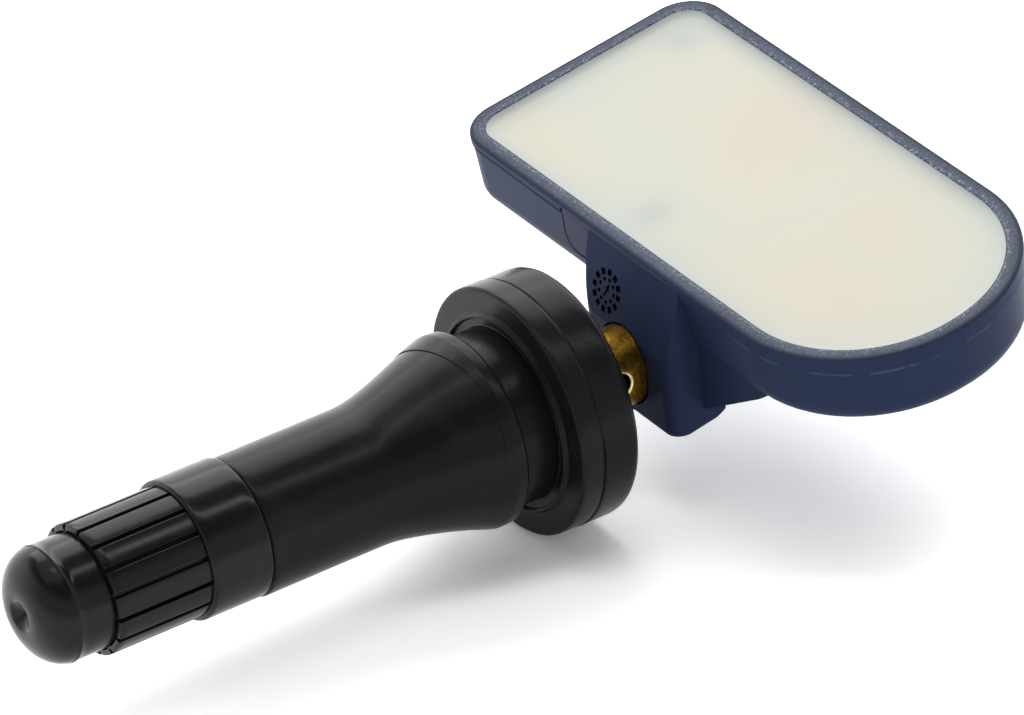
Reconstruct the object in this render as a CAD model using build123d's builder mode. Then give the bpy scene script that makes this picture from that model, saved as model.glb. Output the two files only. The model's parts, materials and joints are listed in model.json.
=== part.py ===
"""Tyre pressure sensor on a snap-in rubber valve: the valve, its cap and core, and the potted sensor tray.

The stem lies along X, with the cap at the -X end and the sensor at the +X end, its potted face up (+Z).
The origin is on the stem's axis, in the front face of the rubber flange, where it meets the wheel rim.
"""

import os
from math import cos, radians, sin, tan

from build123d import *

# Driving dimensions, in millimetres and degrees
# Rubber stem: places along it are measured from the flange's front face, out towards the cap
flange_radius = 9.7
flange_thickness = 5.15
flange_back_round = 0.7
flange_front_round = 0.25
flange_groove_at = 1.95
flange_groove_depth = 0.22
flange_groove_width = 0.4
lip_radius = 7.8
lip_height = 0.7
lip_lean = 0.2
lip_width = 0.25
neck_radius = 6.7
neck_length = 3.1
bulb_radius = 7.5
bulb_round = 0.65
bulb_band = 1.25
bulb_step = 0.22
bulb_step_length = 0.3
flare_length = 8.55
flare_angle = 15.6
flare_start_fullness = 0.35
flare_end_fullness = 0.27
shank_radius = 5.3
rubber_length = 23.8
rubber_end_round = 0.3

# Brass insert with the standard valve thread, left plain here
thread_radius = 3.85
thread_length = 11.0
thread_chamfer = 0.5
tip_place = 36.4
insert_radius = 3.05
collar_radius = 4.3
collar_length = 1.6
collar_place = 6.4
flat_place = 2.8
port_radius = 1.05
port_behind_flange = 3.0
port_rise = 0.3
bore_radius = 2.2
bore_past_port = 0.8
core_bore_radius = 2.65
core_bore_depth = 6.2
core_seat_length = 2.6
tap_depth = 3.2

# Valve core
core_clearance = 0.04
plug_length = 4.6
plug_below_tip = 0.6
plug_bar_width = 1.7
plug_slot_depth = 1.8
barrel_radius = 1.8
barrel_bore_radius = 1.35
barrel_length = 9.2
barrel_lip = 0.8
seal_length = 1.9
pin_radius = 0.55
pin_below_tip = 0.4
pin_slide_clearance = 0.08
pin_air_gap = 0.2
pin_collar_radius = 1.1
pin_collar_length = 0.8
pin_collar_below_plug = 0.8
cup_radius = 1.7
cup_length = 1.7
cup_wall = 0.3
cup_seal_thickness = 0.9
cup_seat_gap = 0.02
spring_wire_radius = 0.14
spring_radius = 0.95
spring_turns = 7
spring_end_gap = 0.05

# Cap: its skirt starts where the rubber ends
cap_gap = 0.1
skirt_radius = 5.36
skirt_length = 5.0
skirt_round = 0.3
grip_radius = 4.98
grip_length = 7.8
rib_count = 16
rib_groove_width = 0.34
rib_groove_depth = 0.38
nose_radius = 4.42
nose_length = 2.8
dome_height = 2.4
dome_flat_radius = 1.25
dome_fullness = 0.62
dome_shoulder = 0.95
dimple_depth = 0.6
pit_radius = 0.28
pit_depth = 0.5
cap_clearance = 0.1
cap_mouth_radius = 4.5
cap_mouth_depth = 1.3
washer_thickness = 1.5
washer_clearance = 0.2
washer_seat_gap = 0.03

# Sensor tray: a D-shaped tray leaning back by the tilt, placed by the point of its near top edge over the stem
tray_tilt = 9.1
tray_rise = 8.67
tray_setback = 1.3
tray_length = 47.7
tray_reach = 23.3
tray_width = 22.7
tray_depth = 6.4
tray_corner_radius = 3.3
tray_end_flat = 0.4
tray_wall = 1.25
tray_floor = 1.0
tray_draft = 2.0
tray_bottom_round = 1.9
band_height = 1.06
band_lean = 1.0
band_step = 0.08
rim_round = 0.22
mark_reach = 3.3
mark_lean = 0.5
mark_foot = 4.15
mark_round = 1.3
mark_width = 0.14
mark_depth = 0.1

# Bracket under the tray that takes the end of the brass insert
bracket_behind_flange = 5.35
bracket_depth = 4.5
bracket_left = 4.6
bracket_left_spread = 1.4
bracket_right = 6.5
bracket_right_lean = 1.3
bracket_drop = 3.8
bracket_foot_rise = 0.8
bracket_heel_length = 2.1
bracket_heel_rise = 1.35
bracket_lean_height = 2.6
bracket_top_drop = 0.35
bracket_edge_round = 1.4
bracket_base_round = 0.4
gusset_reach = 6.8
gusset_setback = 2.6
gusset_lift = 2.1
keel_wall = 0.45
keel_width = 3.6
socket_clearance = 0.15
socket_depth = 2.5
socket_end_gap = 0.1
dial_radius = 1.7
dial_line = 0.18
dial_depth = 0.14
dial_left = 2.7
dial_height = 4.75
dial_tick_count = 12
dial_tick_length = 0.5
dial_tick_width = 0.46
dial_dot_count = 9
dial_dot_place = 0.88
dial_dot_radius = 0.17
dial_arrow_length = 1.1
dial_arrow_head = 0.32
dial_arrow_angle = 70.0

# Retaining screw
screw_radius = 1.5
screw_clearance = 0.15
screw_grip = 2.8
screw_head_radius = 2.45
screw_head_height = 1.7
screw_head_round = 0.4
drive_radius = 1.0
drive_lobe_radius = 0.34
drive_lobe_count = 6
drive_depth = 1.1

# Potting compound
fill_edge_drop = 0.14
fill_drop = 0.36
fill_edge_width = 0.1
fill_edge_slope = 62.0

# Electronics: depths are measured down from the tray's top
board_thickness = 0.8
board_drop = 2.4
board_gap = 0.5
board_cell_gap = 2.4
board_corner_radius = 1.6
chip_size = 6.0
chip_offset = -0.75
port_hole_radius = 0.9
port_seal_radius = 1.9
port_seal_height = 0.55
filter_radius = 2.2
filter_thickness = 0.25
filter_recess = 0.4
filter_clearance = 0.05
crystal_length = 3.2
crystal_width = 2.5
crystal_height = 0.8
coil_length = 9.0
coil_end_length = 1.3
coil_end_width = 2.4
coil_height = 1.6
coil_core_height = 0.8
coil_winding_lift = 0.1
capacitor_length = 1.6
capacitor_width = 0.8
capacitor_height = 0.8
capacitor_pitch = 2.6
capacitor_count = 4
cell_radius = 8.0
cell_thickness = 3.2
cell_floor_gap = 0.3
cell_end_gap = 1.6
cell_round = 0.3
tab_thickness = 0.15
tab_width = 3.0
tab_foot = 1.4
tab_overlap = 5.0
antenna_thickness = 0.4
antenna_height = 1.5
antenna_bar = 0.6
antenna_leg = 1.2
antenna_inset = 1.2

# Worked-out places along X: the cap side is negative
rubber_end = -rubber_length
tip_end = -tip_place
bracket_face = flange_thickness + bracket_behind_flange
bracket_back = bracket_face + bracket_depth
insert_end = bracket_face + socket_depth - socket_end_gap
port_place = flange_thickness + port_behind_flange
bore_end = port_place + bore_past_port
plug_top = tip_end + plug_below_tip
plug_bottom = plug_top + plug_length
barrel_bottom = plug_bottom + barrel_length
pin_top = tip_end + pin_below_tip
pin_collar_top = plug_bottom + pin_collar_below_plug
pin_collar_bottom = pin_collar_top + pin_collar_length
cup_top = barrel_bottom + cup_seat_gap
core_bore_end = tip_end + core_bore_depth
core_seat_end = core_bore_end + core_seat_length
cap_mouth = rubber_end - cap_gap
skirt_end = cap_mouth - skirt_length
grip_end = skirt_end - grip_length
nose_end = grip_end - nose_length
cap_tip = nose_end - dome_height
washer_face = tip_end - washer_seat_gap
washer_back = washer_face - washer_thickness
cap_bore_radius = thread_radius + cap_clearance
cap_bore_end = washer_back - washer_seat_gap

# The tray's own plane: x runs back from the near edge, y along the tray, z out of the potted face
tray_slope = radians(tray_tilt)
tray_top = Plane(
    origin=(bracket_face + tray_setback, 0, tray_rise),
    x_dir=(cos(tray_slope), 0, sin(tray_slope)),
    z_dir=(-sin(tray_slope), 0, cos(tray_slope)),
)
tray_up = Axis(tray_top.origin, tray_top.z_dir)
draft = radians(tray_draft)
near_wall = Plane(
    origin=tray_top.from_local_coords((band_step, 0, 0)),
    x_dir=(0, -1, 0),
    z_dir=tray_top.x_dir * -cos(draft) - tray_top.z_dir * sin(draft),
)
tray_middle = tray_width / 2
tray_long_middle = tray_reach - tray_length / 2
tray_end_radius = (tray_width - tray_end_flat) / 2
floor_top = -(tray_depth - tray_floor)
board_top = -board_drop
board_under = board_top - board_thickness
chip_height = board_under - floor_top - port_seal_height
chip_under = board_under - chip_height
cell_under = floor_top + cell_floor_gap
cell_top = cell_under + cell_thickness
cell_place = tray_reach - tray_length + tray_wall + cell_end_gap + cell_radius
board_far_end = tray_reach - tray_wall - board_gap
board_near_end = cell_place + cell_radius + board_cell_gap
board_length = board_far_end - board_near_end
board_middle = (board_far_end + board_near_end) / 2
chip_place = board_middle + chip_offset
socket_radius = insert_radius + socket_clearance


def turned(points):
    """Half section of a turned part: (place along X, radius) points joined by straight lines."""
    with BuildSketch(Plane.XY) as section:
        with BuildLine():
            Polyline(*points, close=True)
        make_face()
    return section.sketch


def tray_outline(height, inset):
    """D-shaped outline of the tray at a height on its own plane, moved inwards by the inset."""
    with BuildSketch(tray_top.offset(height)) as outline:
        with Locations((tray_middle, tray_long_middle)):
            Rectangle(tray_width - 2 * inset, tray_length - 2 * inset)
        fillet(outline.vertices().group_by(Axis.Y)[-1], tray_corner_radius - inset)
        fillet(outline.vertices().group_by(Axis.Y)[0], tray_end_radius - inset)
    return outline.sketch


# Rubber stem: flange, raised lip, rim groove, bulb and flared shank, moulded on the brass insert
with BuildPart() as rubber_stem:
    with BuildSketch(Plane.XY):
        with BuildLine():
            groove_near = flange_groove_at - flange_groove_width / 2
            groove_far = flange_groove_at + flange_groove_width / 2
            lip_top_radius = lip_radius - lip_lean
            bulb_end = neck_length + bulb_band
            flare_start = bulb_end + bulb_step_length
            flare_radius = bulb_radius - bulb_step
            Polyline(
                (flange_thickness, 0),
                (flange_thickness, flange_radius),
                (groove_far, flange_radius),
                (flange_groove_at, flange_radius - flange_groove_depth),
                (groove_near, flange_radius),
                (0, flange_radius),
                (0, lip_radius),
                (-lip_height, lip_top_radius),
                (-lip_height, lip_top_radius - lip_width),
                (0, lip_top_radius - lip_width),
                (0, neck_radius),
                (-neck_length, neck_radius),
                (-neck_length, bulb_radius),
                (-bulb_end, bulb_radius),
                (-flare_start, flare_radius),
            )
            flare_end = flare_start + flare_length
            start_handle = flare_length * flare_start_fullness
            end_handle = flare_length * flare_end_fullness
            Bezier(
                (-flare_start, flare_radius),
                (-flare_start - start_handle, flare_radius - start_handle * tan(radians(flare_angle))),
                (-flare_end + end_handle, shank_radius),
                (-flare_end, shank_radius),
            )
            Polyline(
                (-flare_end, shank_radius),
                (rubber_end, shank_radius),
                (rubber_end, 0),
                (flange_thickness, 0),
            )
        make_face()
    revolve(axis=Axis.X)
    rings = rubber_stem.edges().filter_by(GeomType.CIRCLE)
    fillet(rings.group_by(Axis.X)[-1], flange_back_round)
    rings = rubber_stem.edges().filter_by(GeomType.CIRCLE)
    fillet(rings.group_by(Axis.X)[0], rubber_end_round)
    rings = rubber_stem.edges().filter_by(GeomType.CIRCLE)
    bulb_edges = rings.filter_by_position(Axis.X, -neck_length, -neck_length)
    fillet(bulb_edges.sort_by(SortBy.RADIUS)[-1], bulb_round)
    rings = rubber_stem.edges().filter_by(GeomType.CIRCLE)
    face_edges = rings.filter_by_position(Axis.X, 0, 0)
    fillet(face_edges.sort_by(SortBy.RADIUS)[-1], flange_front_round)
    section = turned([
        (flange_thickness, 0),
        (flange_thickness, insert_radius),
        (-collar_place, insert_radius),
        (-collar_place, collar_radius),
        (-collar_place - collar_length, collar_radius),
        (-collar_place - collar_length, insert_radius),
        (rubber_end, insert_radius),
        (rubber_end, 0),
    ])
    revolve(section, axis=Axis.X, mode=Mode.SUBTRACT)

# Brass insert: threaded tip, collar held in the rubber, flat with the air port, and a tapped end
with BuildPart() as stem_insert:
    section = turned([
        (insert_end, 0),
        (insert_end, insert_radius),
        (-collar_place, insert_radius),
        (-collar_place, collar_radius),
        (-collar_place - collar_length, collar_radius),
        (-collar_place - collar_length, insert_radius),
        (tip_end + thread_length, insert_radius),
        (tip_end + thread_length, thread_radius),
        (tip_end, thread_radius),
        (tip_end, 0),
    ])
    revolve(section, axis=Axis.X)
    rings = stem_insert.edges().filter_by(GeomType.CIRCLE)
    chamfer(rings.group_by(Axis.X)[0], thread_chamfer)
    section = turned([
        (tip_end, 0),
        (tip_end, core_bore_radius),
        (core_bore_end, core_bore_radius),
        (core_seat_end, bore_radius),
        (bore_end, bore_radius),
        (bore_end, 0),
    ])
    revolve(section, axis=Axis.X, mode=Mode.SUBTRACT)
    with BuildSketch(Plane.XZ.offset(flat_place)):
        with Locations(((flange_thickness + insert_end) / 2, 0)):
            Rectangle(insert_end - flange_thickness, 2 * insert_radius)
    extrude(amount=insert_radius, mode=Mode.SUBTRACT)
    with BuildSketch(Plane.XZ):
        with Locations((port_place, port_rise)):
            Circle(port_radius)
    extrude(amount=insert_radius, mode=Mode.SUBTRACT)
    with BuildSketch(Plane.YZ.offset(insert_end)):
        Circle(screw_radius)
    extrude(amount=-tap_depth, mode=Mode.SUBTRACT)

# Core plug: screws into the valve's mouth and carries the barrel; two cuts leave a bar for the core key
with BuildPart() as core_plug:
    with BuildSketch(Plane.YZ.offset(plug_bottom)):
        Circle(core_bore_radius - core_clearance)
        Circle(pin_radius + pin_slide_clearance, mode=Mode.SUBTRACT)
    extrude(amount=-plug_length)
    with BuildSketch(Plane.YZ.offset(plug_top)):
        for side in (-1, 1):
            with Locations((0, side * (plug_bar_width / 2 + core_bore_radius))):
                Rectangle(2 * core_bore_radius, 2 * core_bore_radius)
    extrude(amount=plug_slot_depth, mode=Mode.SUBTRACT)

# Core barrel: the tube below the plug that holds the spring
with BuildPart() as core_barrel:
    with BuildSketch(Plane.YZ.offset(plug_bottom)):
        Circle(barrel_radius)
        Circle(barrel_bore_radius, mode=Mode.SUBTRACT)
    extrude(amount=barrel_length)
    with BuildSketch(Plane.YZ.offset(barrel_bottom)):
        Circle(barrel_radius)
        Circle(pin_radius + pin_air_gap, mode=Mode.SUBTRACT)
    extrude(amount=-barrel_lip)

# Barrel seal: a tapered ring on the barrel, pressed into the cone of the bore
with BuildPart() as core_barrel_seal:
    seat_slope = (core_bore_radius - bore_radius) / core_seat_length
    seal_start = core_bore_end + (core_seat_length - seal_length) / 2
    seal_end = seal_start + seal_length
    section = turned([
        (seal_start, barrel_radius),
        (seal_start, core_bore_radius - (seal_start - core_bore_end) * seat_slope - core_clearance),
        (seal_end, core_bore_radius - (seal_end - core_bore_end) * seat_slope - core_clearance),
        (seal_end, barrel_radius),
    ])
    revolve(section, axis=Axis.X)

# Core pin: the wire that is pressed to let air through, with its spring collar and its cup
with BuildPart() as core_pin:
    cup_floor = cup_top + cup_seal_thickness
    section = turned([
        (pin_top, 0),
        (pin_top, pin_radius),
        (pin_collar_top, pin_radius),
        (pin_collar_top, pin_collar_radius),
        (pin_collar_bottom, pin_collar_radius),
        (pin_collar_bottom, pin_radius),
        (cup_floor, pin_radius),
        (cup_floor, cup_radius - cup_wall),
        (cup_floor - cup_seal_thickness / 2, cup_radius - cup_wall),
        (cup_floor - cup_seal_thickness / 2, cup_radius),
        (cup_top + cup_length, cup_radius),
        (cup_top + cup_length, 0),
    ])
    revolve(section, axis=Axis.X)

# Cup seal: the rubber ring that closes on the end of the barrel
with BuildPart() as core_cup_seal:
    with BuildSketch(Plane.YZ.offset(cup_top)):
        Circle(cup_radius - cup_wall)
        Circle(pin_radius, mode=Mode.SUBTRACT)
    extrude(amount=cup_seal_thickness)

# Core spring: pushes the pin's collar outwards and so keeps the cup on its seat
with BuildPart() as core_spring:
    spring_start = pin_collar_bottom + spring_wire_radius + spring_end_gap
    spring_end = barrel_bottom - barrel_lip - spring_wire_radius - spring_end_gap
    spring_height = spring_end - spring_start
    with BuildLine():
        coil_line = Helix(
            pitch=spring_height / spring_turns,
            height=spring_height,
            radius=spring_radius,
            center=(spring_start, 0, 0),
            direction=(1, 0, 0),
        )
    with BuildSketch(Plane(origin=coil_line @ 0, z_dir=coil_line % 0)):
        Circle(spring_wire_radius)
    sweep(path=coil_line, is_frenet=True)

# Cap: smooth skirt, ribbed grip, plain nose and a dimpled dome, with a bore for the valve's thread
with BuildPart() as valve_cap:
    with BuildSketch(Plane.XY):
        with BuildLine():
            Polyline(
                (nose_end, 0),
                (cap_mouth, 0),
                (cap_mouth, skirt_radius),
                (skirt_end, skirt_radius),
                (skirt_end, grip_radius),
                (grip_end, grip_radius),
                (grip_end, nose_radius),
                (nose_end, nose_radius),
            )
            Bezier(
                (nose_end, nose_radius),
                (nose_end - dome_height * dome_fullness, nose_radius * dome_shoulder),
                (cap_tip, (nose_radius + dome_flat_radius) / 2),
                (cap_tip, dome_flat_radius),
            )
            Polyline(
                (cap_tip, dome_flat_radius),
                (cap_tip + dimple_depth, pit_radius),
                (cap_tip + dimple_depth + pit_depth, pit_radius),
                (cap_tip + dimple_depth + pit_depth, 0),
                (nose_end, 0),
            )
        make_face()
    revolve(axis=Axis.X)
    rings = valve_cap.edges().filter_by(GeomType.CIRCLE).filter_by_position(Axis.X, skirt_end, skirt_end)
    fillet(rings.sort_by(SortBy.RADIUS)[-1], skirt_round)
    with BuildSketch(Plane.YZ.offset(skirt_end)):
        with PolarLocations(grip_radius, rib_count):
            Rectangle(2 * rib_groove_depth, rib_groove_width)
    extrude(amount=-grip_length, mode=Mode.SUBTRACT)
    section = turned([
        (cap_mouth, 0),
        (cap_mouth, cap_mouth_radius),
        (cap_mouth - cap_mouth_depth, cap_mouth_radius),
        (cap_mouth - cap_mouth_depth, cap_bore_radius),
        (cap_bore_end, cap_bore_radius),
        (cap_bore_end, 0),
    ])
    revolve(section, axis=Axis.X, mode=Mode.SUBTRACT)

# Cap seal: the rubber washer in the closed end of the cap
with BuildPart() as cap_seal:
    with BuildSketch(Plane.YZ.offset(washer_face)):
        Circle(cap_bore_radius - washer_clearance)
    extrude(amount=-washer_thickness)

# Bracket: the block that stands down from the tray, with a gusset on its round-end side
with BuildPart() as bracket:
    bracket_top = tray_top.from_local_coords((band_step, 0, -bracket_top_drop))
    tray_under = tray_top.from_local_coords((tray_bottom_round, 0, -tray_depth))
    with BuildSketch(Plane.YZ.offset(bracket_face)):
        with BuildLine():
            Polyline(
                (-bracket_right, -bracket_drop),
                (bracket_left, -bracket_drop),
                (bracket_left + bracket_left_spread, bracket_top.Z),
                (bracket_right_lean - bracket_right, bracket_top.Z),
                close=True,
            )
        make_face()
    extrude(amount=bracket_depth)
    front_face = bracket.faces().sort_by(Axis.X)[0]
    fillet(front_face.edges().filter_by(Axis.Y, reverse=True), bracket_edge_round)
    with BuildSketch(Plane.XZ):
        with BuildLine():
            Polyline(
                (bracket_face, -bracket_drop),
                (bracket_back, -bracket_drop),
                (bracket_back, bracket_foot_rise - bracket_drop),
                close=True,
            )
        make_face()
    extrude(amount=tray_length / 2, both=True, mode=Mode.SUBTRACT)
    fillet(bracket.faces().sort_by(Axis.Z)[0].edges(), bracket_base_round)
    with BuildSketch(Plane.XZ):
        with BuildLine():
            Polyline(
                (bracket_face, bracket_lean_height),
                (bracket_top.X, bracket_top.Z),
                (bracket_face, bracket_top.Z),
                close=True,
            )
        make_face()
        with BuildLine():
            Polyline(
                (bracket_back - bracket_heel_length, -bracket_drop),
                (bracket_back, -bracket_drop),
                (bracket_back, bracket_heel_rise - bracket_drop),
                close=True,
            )
        make_face()
    extrude(amount=tray_length / 2, both=True, mode=Mode.SUBTRACT)
    with BuildSketch(Plane.YZ.offset(bracket_face + gusset_setback)):
        gusset_end = -bracket_right - gusset_reach
        gusset_foot = gusset_lift - bracket_drop
        gusset_top = tray_under.Z + tray_bottom_round
        with BuildLine():
            Polyline(
                (0, gusset_foot),
                (-bracket_right, gusset_foot),
                (gusset_end, tray_under.Z),
                (gusset_end, gusset_top),
                (0, gusset_top),
                close=True,
            )
        make_face()
    extrude(amount=bracket_depth - gusset_setback)
    with BuildSketch(Plane.YZ.offset(bracket_face)):
        Circle(socket_radius + keel_wall)
        with Locations((0, -socket_radius - keel_wall)):
            Rectangle(keel_width, 2 * (socket_radius + keel_wall), mode=Mode.INTERSECT)
    extrude(amount=bracket_depth)

# Rim band: stands a little proud of the drafted walls, down to a parting line that leans along the tray
with BuildPart() as rim_band:
    extrude(tray_outline(0, 0), amount=-2 * band_height)
    split(bisect_by=tray_top.offset(-band_height).rotated((band_lean, 0, 0)), keep=Keep.TOP)

# Sensor housing: the tray with its bracket, one moulding, with the pressure port in its floor.
# Beside the bracket a flush patch with a hairline round it shows where a mould insert sat
with BuildPart() as sensor_housing:
    extrude(tray_outline(0, band_step), amount=-tray_depth, taper=tray_draft)
    fillet(sensor_housing.faces().sort_by(tray_up)[0].edges(), tray_bottom_round)
    add(rim_band.part)
    mark_top = (-bracket_left - bracket_left_spread - mark_reach, -rim_round - mark_width)
    mark_corner = (mark_top[0] - mark_lean, -mark_foot)
    mark_end = (-bracket_left, -mark_foot)
    with BuildSketch(near_wall):
        with BuildLine():
            mark = FilletPolyline(mark_top, mark_corner, mark_end, radius=mark_round)
            Polyline(mark @ 1, (mark_end[0], mark_top[1]), mark @ 0)
        make_face()
    extrude(amount=band_step)
    with BuildSketch(near_wall):
        with BuildLine():
            FilletPolyline(mark_top, mark_corner, mark_end, radius=mark_round)
        trace(line_width=mark_width)
    extrude(amount=mark_depth, both=True, mode=Mode.SUBTRACT)
    add(bracket.part)
    extrude(tray_outline(0, tray_wall), amount=floor_top, mode=Mode.SUBTRACT)
    fillet(sensor_housing.faces().sort_by(tray_up)[-1].edges(), rim_round)
    with BuildSketch(Plane.YZ.offset(bracket_face)):
        Circle(socket_radius)
        with Locations((-flat_place - socket_clearance - socket_radius / 2, 0)):
            Rectangle(socket_radius, 2 * socket_radius, mode=Mode.SUBTRACT)
    extrude(amount=socket_depth, mode=Mode.SUBTRACT)
    with BuildSketch(Plane.YZ.offset(bracket_face)):
        Circle(screw_radius + screw_clearance)
    extrude(amount=bracket_depth, mode=Mode.SUBTRACT)
    with BuildSketch(tray_top.offset(floor_top)):
        with Locations((tray_middle, chip_place)):
            Circle(port_hole_radius)
    extrude(amount=-tray_floor, mode=Mode.SUBTRACT)
    with BuildSketch(tray_top.offset(-tray_depth)):
        with Locations((tray_middle, chip_place)):
            Circle(filter_radius)
    extrude(amount=filter_recess, mode=Mode.SUBTRACT)
    lean = Vector(bracket_top.X - bracket_face, 0, bracket_top.Z - bracket_lean_height)
    dial_share = (dial_height - bracket_lean_height) / lean.Z
    dial_plane = Plane(
        origin=(bracket_face + lean.X * dial_share, dial_left, dial_height),
        x_dir=(0, -1, 0),
        z_dir=(-lean.Z, 0, lean.X),
    )
    with BuildSketch(dial_plane):
        with PolarLocations(dial_dot_place, dial_dot_count):
            Circle(dial_dot_radius)
        with PolarLocations(dial_radius - dial_tick_length / 2, dial_tick_count):
            Rectangle(dial_tick_length, dial_tick_width)
        with PolarLocations(0, 1, start_angle=dial_arrow_angle):
            Rectangle(dial_arrow_length, dial_line)
        with PolarLocations(dial_arrow_length / 2 - dial_arrow_head, 1, start_angle=dial_arrow_angle):
            RegularPolygon(dial_arrow_head, 3)
    extrude(amount=-dial_depth, mode=Mode.SUBTRACT)

# Retaining screw: passes the bracket from behind into the tapped end of the insert
with BuildPart() as retaining_screw:
    with BuildSketch(Plane.YZ.offset(bracket_back)):
        Circle(screw_head_radius)
    extrude(amount=screw_head_height)
    fillet(retaining_screw.edges().group_by(Axis.X)[-1], screw_head_round)
    with BuildSketch(Plane.YZ.offset(insert_end - screw_grip)):
        Circle(screw_radius)
    extrude(amount=bracket_back - insert_end + screw_grip)
    with BuildSketch(Plane.YZ.offset(bracket_back + screw_head_height)):
        Circle(drive_radius)
        with PolarLocations(drive_radius, drive_lobe_count):
            Circle(drive_lobe_radius)
    extrude(amount=-drive_depth, mode=Mode.SUBTRACT)

# Circuit board: lies across the square end of the tray
with BuildPart() as circuit_board:
    board_width = tray_width - 2 * (tray_wall + board_gap)
    with BuildSketch(tray_top.offset(board_under)):
        with Locations((tray_middle, board_middle)):
            RectangleRounded(board_width, board_length, board_corner_radius)
    extrude(amount=board_thickness)

# Sensor chip: under the board, over the pressure port
with BuildPart() as sensor_chip:
    with BuildSketch(tray_top.offset(chip_under)):
        with Locations((tray_middle, chip_place)):
            Rectangle(chip_size, chip_size)
    extrude(amount=chip_height)

# Port seal: the ring between the chip and the tray's floor
with BuildPart() as port_seal:
    with BuildSketch(tray_top.offset(floor_top)):
        with Locations((tray_middle, chip_place)):
            Circle(port_seal_radius)
            Circle(port_hole_radius, mode=Mode.SUBTRACT)
    extrude(amount=chip_under - floor_top)

# Port filter: the disc in the recess outside the port
with BuildPart() as port_filter:
    with BuildSketch(tray_top.offset(-tray_depth + filter_recess)):
        with Locations((tray_middle, chip_place)):
            Circle(filter_radius - filter_clearance)
    extrude(amount=-filter_thickness)

# Crystal: the metal can beside the coil
with BuildPart() as crystal:
    with BuildSketch(tray_top.offset(board_top)):
        with Locations((tray_middle + chip_size, chip_place)):
            Rectangle(crystal_width, crystal_length)
    extrude(amount=crystal_height)

# Coil core: a ferrite bar with a wide end at each side of the winding
with BuildPart() as coil_core:
    coil_middle = board_top + coil_height / 2
    coil_end_place = (coil_length - coil_end_length) / 2
    with BuildSketch(tray_top.offset(board_top)):
        for side in (-1, 1):
            with Locations((tray_middle - chip_size, chip_place + side * coil_end_place)):
                Rectangle(coil_end_width, coil_end_length)
    extrude(amount=coil_height)
    with BuildSketch(tray_top.offset(coil_middle - coil_core_height / 2)):
        with Locations((tray_middle - chip_size, chip_place)):
            Rectangle(coil_core_height, coil_length - coil_end_length)
    extrude(amount=coil_core_height)

# Coil winding: the copper wire on the ferrite bar, one solid
with BuildPart() as coil_winding:
    winding_height = coil_height - 2 * coil_winding_lift
    winding_length = coil_length - 2 * coil_end_length
    with BuildSketch(tray_top.offset(board_top + coil_winding_lift)):
        with Locations((tray_middle - chip_size, chip_place)):
            Rectangle(winding_height, winding_length)
    extrude(amount=winding_height)
    add(coil_core.part, mode=Mode.SUBTRACT)

# Chip capacitors: a row of separate blocks on the board
with BuildPart() as chip_capacitors:
    with BuildSketch(tray_top.offset(board_top)):
        with Locations((tray_middle, chip_place)):
            with GridLocations(capacitor_length + capacitor_width, capacitor_pitch, 1, capacitor_count):
                Rectangle(capacitor_length, capacitor_width)
    extrude(amount=capacitor_height)

# Battery cell: a sealed can in the round end of the tray
with BuildPart() as battery_cell:
    with BuildSketch(tray_top.offset(cell_under)):
        with Locations((tray_middle, cell_place)):
            Circle(cell_radius)
    extrude(amount=cell_thickness)
    fillet(battery_cell.edges().group_by(tray_up)[-1], cell_round)


def battery_tab(flat, rise, board_face):
    """Strip on the tray's long section: flat on the cell, along to the board and on to its face."""
    section = Plane(
        origin=tray_top.from_local_coords((tray_middle - tab_width / 2, 0, 0)),
        x_dir=(0, 1, 0),
        z_dir=tray_top.x_dir,
    )
    into_cell = cell_place + cell_radius - tab_overlap
    foot_end = board_near_end + tab_foot
    leg = board_near_end - tab_thickness
    thick = tab_thickness * rise
    with BuildSketch(section) as strip:
        with BuildLine():
            Polyline(
                (into_cell, flat),
                (leg, flat),
                (leg, board_face),
                (foot_end, board_face),
                (foot_end, board_face + thick),
                (board_near_end, board_face + thick),
                (board_near_end, flat + thick),
                (into_cell, flat + thick),
                close=True,
            )
        make_face()
    return strip.sketch


# Battery tabs: thin strips from the cell's top and underside to the same faces of the board
with BuildPart() as battery_tab_positive:
    extrude(battery_tab(cell_top, 1, board_top), amount=tab_width)

with BuildPart() as battery_tab_negative:
    extrude(battery_tab(cell_under, -1, board_under), amount=tab_width)

# Antenna: a stamped bar on two legs along the far edge of the board
with BuildPart() as antenna_strip:
    antenna_place = tray_width - tray_wall - antenna_inset - antenna_thickness
    antenna_start = board_near_end + board_corner_radius
    antenna_end = board_far_end - board_corner_radius
    antenna_top = board_top + antenna_height
    antenna_section = Plane(
        origin=tray_top.from_local_coords((antenna_place, 0, 0)),
        x_dir=(0, 1, 0),
        z_dir=tray_top.x_dir,
    )
    with BuildSketch(antenna_section):
        with BuildLine():
            Polyline(
                (antenna_start, board_top),
                (antenna_start, antenna_top),
                (antenna_end, antenna_top),
                (antenna_end, board_top),
                (antenna_end - antenna_leg, board_top),
                (antenna_end - antenna_leg, antenna_top - antenna_bar),
                (antenna_start + antenna_leg, antenna_top - antenna_bar),
                (antenna_start + antenna_leg, board_top),
                close=True,
            )
        make_face()
    extrude(amount=antenna_thickness)

electronics = [
    circuit_board,
    sensor_chip,
    crystal,
    coil_core,
    coil_winding,
    chip_capacitors,
    battery_cell,
    battery_tab_positive,
    battery_tab_negative,
    antenna_strip,
]

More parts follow.
